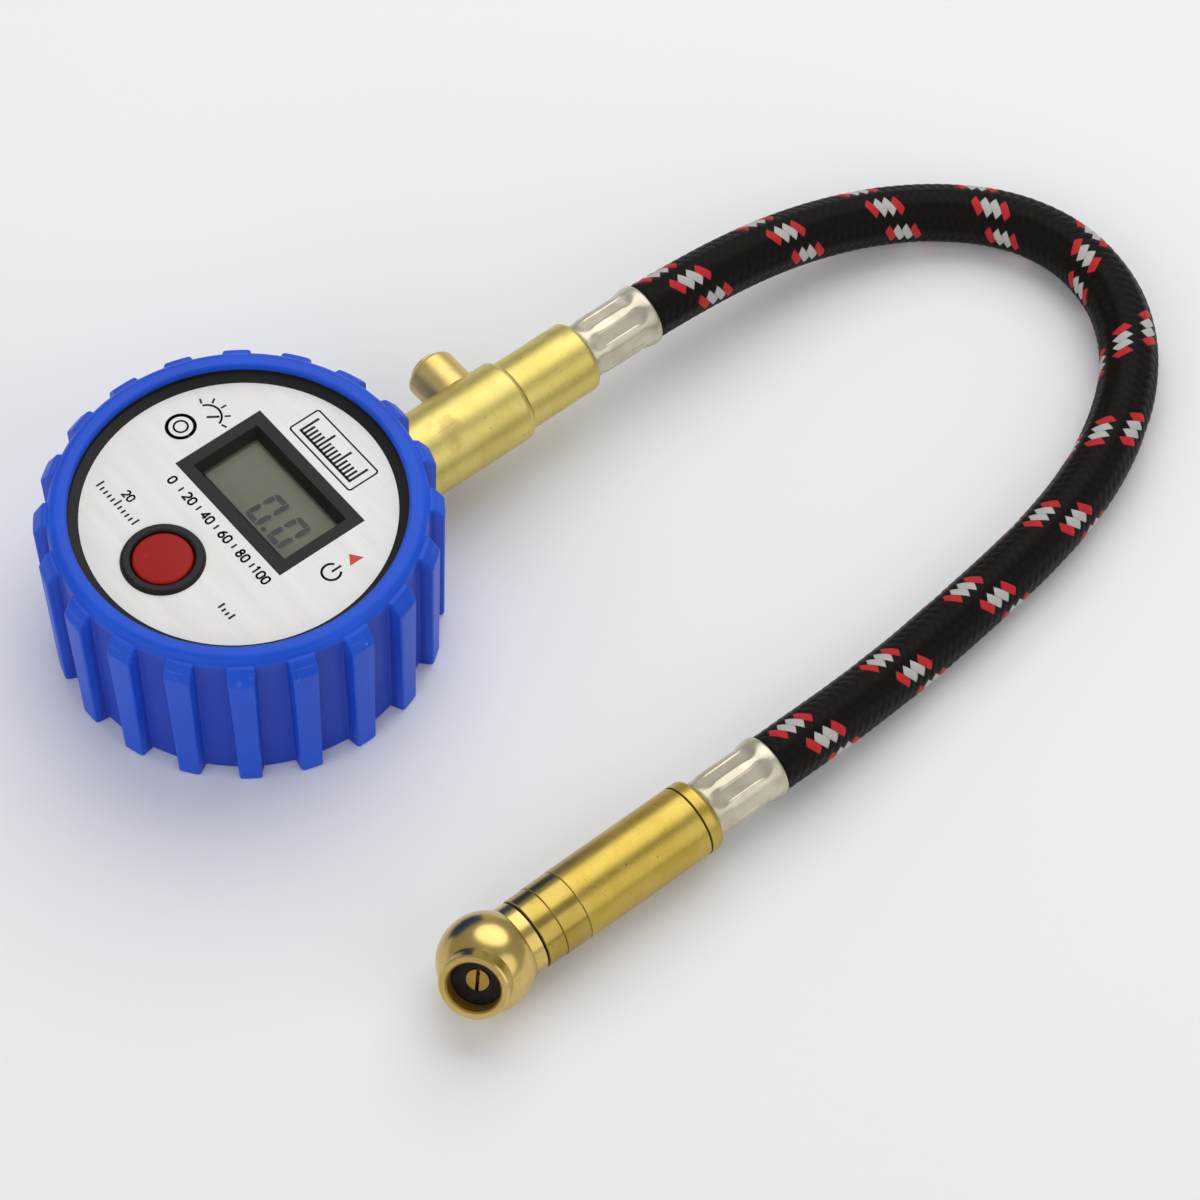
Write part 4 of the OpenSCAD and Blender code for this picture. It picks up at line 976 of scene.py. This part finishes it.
def ferrule_levels():
    """Along the ferrule: (height, round radius, distance of the pressed flats, half ridge)."""
    neck = plain([(0, NECK_R - 0.5), (0.1, NECK_R - 0.2), (0.35, NECK_R)])
    pressed = [(0.9, NECK_R + 0.01, 4.97, 12.0), (1.5, 5.06, 4.86, 5.0), (2.0, 5.1, 4.82, 3.4),
               (2.5, 5.14, 4.86, 3.6), (3.0, 5.17, 4.92, 6.5), (3.4, ROUND_R, FLAT_R, 8.8),
               (4.5, ROUND_R, FLAT_R, 9.4), (7.0, ROUND_R, FLAT_R, 9.4),
               (9.3, ROUND_R, FLAT_R, 9.2), (9.9, ROUND_R, FLAT_R - 0.02, 7.6),
               (10.5, ROUND_R + 0.02, FLAT_R - 0.02, 5.4), (11.0, 5.25, 4.98, 5.0),
               (11.5, 5.31, 5.1, 7.5), (12.0, 5.37, 5.25, 14.0), (12.5, 5.42, 5.38, HALF_JAW)]
    flare = plain([(13.0, FLARE_R), (13.6, FLARE_R), (13.88, FLARE_R - 0.05), (14.0, 5.28),
                   (13.9, 5.15), (13.3, 5.1)])
    bore = plain([(13.2, CRIMP_BORE_R), (0.8, CRIMP_BORE_R), (0.8, PIPE_BORE_R),
                  (0, PIPE_BORE_R)])
    return neck + pressed + flare + bore


def make_ferrule(name, node, start, turn):
    """A crimped sleeve along +Y from its brass end, with one ridge between every two jaws."""
    levels = ferrule_levels()
    one_side = [0, 3, 5, 6.8, 8, 9, 10, 11, 12.2, 14.5, 18]
    offsets = [-HALF_JAW, *(-a for a in one_side[:0:-1]), *one_side]
    points = []
    for along, round_r, pressed_r, ridge in levels:
        for jaw in range(JAWS):
            for offset in offsets:
                side = abs(offset)
                soft = within((ridge + 1.1 - side) / 2.2)
                soft = soft * soft * (3 - 2 * soft)
                flat = min(round_r, pressed_r / math.cos(math.radians(HALF_JAW - side)))
                r = mix(flat, round_r, soft)
                a = math.radians(jaw * 2 * HALF_JAW + offset + turn)
                points.append(Vector((r * math.sin(a), along, r * math.cos(a))) * MM)
    faces = grid_faces(len(levels), JAWS * len(offsets))
    ferrule = mesh_object(name, points, [f[::-1] for f in faces])
    ferrule.location = Vector(start) * MM
    finish_mesh(ferrule, 38)
    dress(ferrule, "gauge", nickel)
    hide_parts(node)
    return ferrule


make_ferrule("gauge_crimp_sleeve", "gauge_ferrule", (0, 69.6, STEM_Z), 8)
chuck_sleeve = make_ferrule("chuck_crimp_sleeve", "chuck_ferrule", (79.4, 30, 8), 2)

# -------- display and print

LCD_TOP = 26.95
PLATE_TOP = 29.35
INK_T = 0.02
SEGMENT_LIFT = 0.03
DIGIT_H = 6.55
DIGIT_W = 3.55
SEGMENT_T = 0.96     # width of a segment
SEGMENT_GAP = 0.17
SLANT = 0.063        # how far the digits lean, per height
DIGIT_PLACES = [(1.12, 4.60), (6.83, 4.62)]
POINT_PLACE = (3.83, 1.87)
POINT_R = 0.46
SHADE_SHIFT = 0.38   # how far the segments' shade falls aside on the display's ground


def flat_shapes(name, outlines, z, thickness, finish):
    """Thin raised shapes on the dial, each a list of corners in millimetres."""
    shapes = bmesh.new()
    for outline in outlines:
        area = sum(a[0] * b[1] - b[0] * a[1] for a, b in zip(outline, outline[1:] + outline[:1]))
        loop = outline if area > 0 else outline[::-1]
        rings = [[shapes.verts.new(Vector((x, y, h)) * MM) for x, y in loop]
                 for h in (z, z + thickness)]
        shapes.faces.new(rings[0][::-1])
        shapes.faces.new(rings[1])
        for k in range(len(loop)):
            n = (k + 1) % len(loop)
            shapes.faces.new((rings[0][k], rings[0][n], rings[1][n], rings[1][k]))
    mesh = bpy.data.meshes.new(name)
    shapes.to_mesh(mesh)
    shapes.free()
    obj = bpy.data.objects.new(name, mesh)
    bpy.context.scene.collection.objects.link(obj)
    dress(obj, "gauge", finish)


def zero_segments(cx, cy, aside):
    """The six lit segments of a nought, with a gap between neighbours."""
    w, h, t, g = DIGIT_W / 2, DIGIT_H / 2, SEGMENT_T, SEGMENT_GAP / 2
    cut = 0.35
    top = [(-w + 0.1, h - cut - 0.3), (-w + 0.35, h - 0.12), (-w + 0.8, h), (w - t + 0.1 - g, h),
           (w - t - 0.12 - g, h - t), (-w + t + 0.12, h - t)]
    right_up = [(w - t + 0.1 + g, h), (w - 0.45, h - 0.05), (w - 0.08, h - 0.45), (w, h - 1.0),
                (w, 0.55), (w - 0.4, 0.12), (w - t + 0.05, 0.75), (w - t, h - t - 0.1)]
    left_up = [(-w + 0.05, h - cut - 0.52), (-w + t, h - t - 0.2), (-w + t, 0.75),
               (-w + 0.42, 0.1), (-w, 0.5)]
    left_low = [(-w + 0.42, -0.1), (-w + t, -0.75), (-w + t, -h + t + 0.16),
                (-w + 0.04, -h + cut + 0.42), (-w, -0.5)]
    bottom = [(-w + 0.08, -h + cut + 0.22), (-w + t, -h + t), (w - t - 0.1 - g, -h + t),
              (w - t + 0.12 - g, -h + 0.02), (-w + 0.8, -h), (-w + 0.25, -h + 0.25)]
    right_low = [(w - 0.4, -0.12), (w, -0.55), (w, -h + 0.8), (w - 0.2, -h + 0.3),
                 (w - t + 0.3 + g, -h + 0.03), (w - t - 0.05 + g, -h + t + 0.1),
                 (w - t, -0.75)]
    bars = [top, right_up, left_up, left_low, bottom, right_low]
    return [[(cx + aside + x + SLANT * y, cy + y) for x, y in bar] for bar in bars]


def ring_outline(cx, cy, r, count, squash=1.0):
    return [(cx + r * math.cos(TURN * k / count), cy + squash * r * math.sin(TURN * k / count))
            for k in range(count)]


def lit_segments(aside):
    """All dark parts of the display: two noughts with a point between them."""
    bars = [bar for place in DIGIT_PLACES for bar in zero_segments(*place, aside)]
    return [*bars, ring_outline(POINT_PLACE[0] + aside, POINT_PLACE[1], POINT_R, 16, 0.9)]


def stroke(points, width):
    """Outline pieces of a line of the given width: a bar for each leg, a round at each joint."""
    pieces = []
    for (ax, ay), (bx, by) in zip(points, points[1:]):
        length = math.hypot(bx - ax, by - ay)
        nx, ny = -(by - ay) / length * width / 2, (bx - ax) / length * width / 2
        pieces.append([(ax + nx, ay + ny), (ax - nx, ay - ny), (bx - nx, by - ny),
                       (bx + nx, by + ny)])
    for x, y in points[1:-1]:
        pieces.append(ring_outline(x, y, width / 2, 10))
    return pieces


# Plain figures, each made of lines in a box 0.6 wide and 1 high
FIGURE_W = 0.6
FIGURE_PITCH = 0.86
FIGURES = {
    "0": [arc(0.3, 0.7, 0.3, 0, 180, 8) + arc(0.3, 0.3, 0.3, 180, 360, 8) + [(0.6, 0.7)]],
    "1": [[(0.1, 0.8), (0.35, 1.0), (0.35, 0.0)]],
    "2": [arc(0.3, 0.7, 0.3, 165, -35, 8) + [(0.02, 0.0), (0.62, 0.0)]],
    "4": [[(0.48, 0.0), (0.48, 1.0), (0.0, 0.3), (0.66, 0.3)]],
    "5": [[(0.56, 1.0), (0.1, 1.0), (0.06, 0.55)] + arc(0.28, 0.33, 0.33, 130, -150, 10)],
    "6": [arc(0.3, 0.3, 0.3, 0, 360, 14), [(0.01, 0.35), (0.14, 0.72), (0.5, 1.0)]],
    "8": [arc(0.3, 0.27, 0.28, 0, 360, 12), arc(0.3, 0.77, 0.23, 0, 360, 12)],
}


def number(text, cx, cy, high, width):
    """A plain number of the given height with its middle at (cx, cy)."""
    start = -(FIGURE_PITCH * (len(text) - 1) + FIGURE_W) / 2
    pieces = []
    for k, figure in enumerate(text):
        for line in FIGURES[figure]:
            placed = [(cx + (start + FIGURE_PITCH * k + x) * high, cy + (y - 0.5) * high)
                      for x, y in line]
            pieces += stroke(placed, width)
    return pieces


def rounded_frame(x0, y0, x1, y1, r, width):
    corners = (arc(x1 - r, y1 - r, r, 0, 90, 6) + arc(x0 + r, y1 - r, r, 90, 180, 6)
               + arc(x0 + r, y0 + r, r, 180, 270, 6) + arc(x1 - r, y0 + r, r, 270, 360, 6))
    return stroke([*corners, corners[0], corners[1]], width)


def tick_row(x0, x1, y, count, long_every, short, long, width):
    """A rule of upright ticks that stand on y."""
    pieces = []
    for k in range(count):
        x = mix(x0, x1, k / (count - 1))
        high = long if k % long_every == 0 else short
        pieces += stroke([(x, y), (x, y + high)], width)
    return pieces


RULE_BOX = (-8.1, 16.1, 7.8, 22.0)
NUMBERS = ("0", "20", "40", "60", "80", "100")
NUMBER_START = -11.6
NUMBER_PITCH = 4.72
FAN_PLACE = (-18.2, 7.0)
RINGS_PLACE = (-19.3, 2.65)
POWER_PLACE = (18.5, 4.4)
RED_MARK = [(17.5, 8.68), (19.43, 7.43), (19.43, 10.1)]


def needle_fan(cx, cy):
    """A small arc with five rays and a needle."""
    pieces = stroke(arc(cx, cy, 2.45, 20, 160, 20), 0.36)
    for degrees in (20, 55, 90, 125, 160):
        ax, ay = math.cos(math.radians(degrees)), math.sin(math.radians(degrees))
        pieces += stroke([(cx + 2.9 * ax, cy + 2.9 * ay), (cx + 3.9 * ax, cy + 3.9 * ay)], 0.34)
    return pieces + stroke([(cx, cy), (cx + 1.2, cy + 1.7)], 0.42)


def dial_print():
    """Plain marks on the face plate: a boxed rule, a row of numbers, arcs and ticks."""
    pieces = rounded_frame(*RULE_BOX, 0.5, 0.3)
    pieces += tick_row(-6.6, 6.3, 17.2, 16, 5, 2.3, 3.8, 0.44)
    pieces += stroke([(-6.82, 17.3), (6.52, 17.3)], 0.44)
    for k, text in enumerate(NUMBERS):
        pieces += number(text, NUMBER_START + NUMBER_PITCH * k, -4.6, 1.5, 0.36)
    for k in range(len(NUMBERS) - 1):
        x = NUMBER_START + NUMBER_PITCH * (k + 0.5)
        pieces += stroke([(x, -5.15), (x, -4.05)], 0.34)
    pieces += needle_fan(*FAN_PLACE)
    pieces += stroke(arc(*RINGS_PLACE, 2.3, 0, 360, 32), 0.6)
    pieces += stroke(arc(*RINGS_PLACE, 1.15, 0, 360, 24), 0.34)
    pieces += number("20", -13.4, -11.9, 1.35, 0.32)
    pieces += tick_row(-18.2, -8.6, -14.8, 11, 5, 0.9, 1.55, 0.34)
    pieces += tick_row(12.8, 15.5, -13.5, 4, 3, 0.8, 1.3, 0.38)
    pieces += stroke(arc(*POWER_PLACE, 1.55, 125, 415, 20), 0.4)
    pieces += stroke([(18.5, 4.5), (18.5, 6.35)], 0.4)
    return pieces


# painted shadow: the segments again, shifted aside just under the digits, in a darker tone of
# the display's ground
flat_shapes("display_shade", lit_segments(SHADE_SHIFT), LCD_TOP, SEGMENT_LIFT / 3,
            display_shade)
flat_shapes("display_digits", lit_segments(0), LCD_TOP + SEGMENT_LIFT / 3, SEGMENT_LIFT,
            display_ink)
flat_shapes("dial_marks", dial_print(), PLATE_TOP, INK_T, black_ink)
flat_shapes("red_marker", [RED_MARK], PLATE_TOP, INK_T, red_ink)

# -------- floor and light


def pale_floor(tree):
    cloud = tree.noise(tree.place(), 8.0, 2.0, 0.5)
    return {"Base_Color": tree.colour(cloud, srgb(247, 247, 247), srgb(250, 250, 250)),
            "Roughness": 0.9}


def make_floor():
    """A plain pale floor."""
    bpy.ops.mesh.primitive_plane_add(size=6, location=(0, 0, 0))
    floor = bpy.context.object
    floor.name = "studio_floor"
    floor.data.materials.append(material("pale_floor", pale_floor))


def make_light(name, place, target, size, energy):
    """A soft round light that looks at the target."""
    bpy.ops.object.light_add(type="AREA", location=place)
    light = bpy.context.object
    light.name = name
    light.data.shape = "ELLIPSE"
    light.data.size, light.data.size_y = size
    light.data.energy = energy
    aim = Vector(target) - Vector(place)
    light.rotation_euler = aim.to_track_quat("-Z", "Y").to_euler()


def make_lights():
    centre = (0.035, 0.05, 0)
    make_light("key_softbox", (-0.25, 0.45, 0.75), centre, (1.15, 0.95), 4.3)
    make_light("fill_softbox", (1.0, 0.3, 0.6), centre, (1.0, 1.0), 2.2)
    make_light("front_softbox", (0.2, -1.1, 0.7), centre, (1.9, 1.3), 5.0)
    world = bpy.data.worlds.new("studio_air")
    world.use_nodes = True
    back = world.node_tree.nodes["Background"]
    back.inputs[0].default_value = (0.95, 0.97, 1.0, 1)
    back.inputs[1].default_value = 0.4
    bpy.context.scene.world = world


make_floor()
make_lights()
bpy.context.scene.view_settings.view_transform = "Standard"
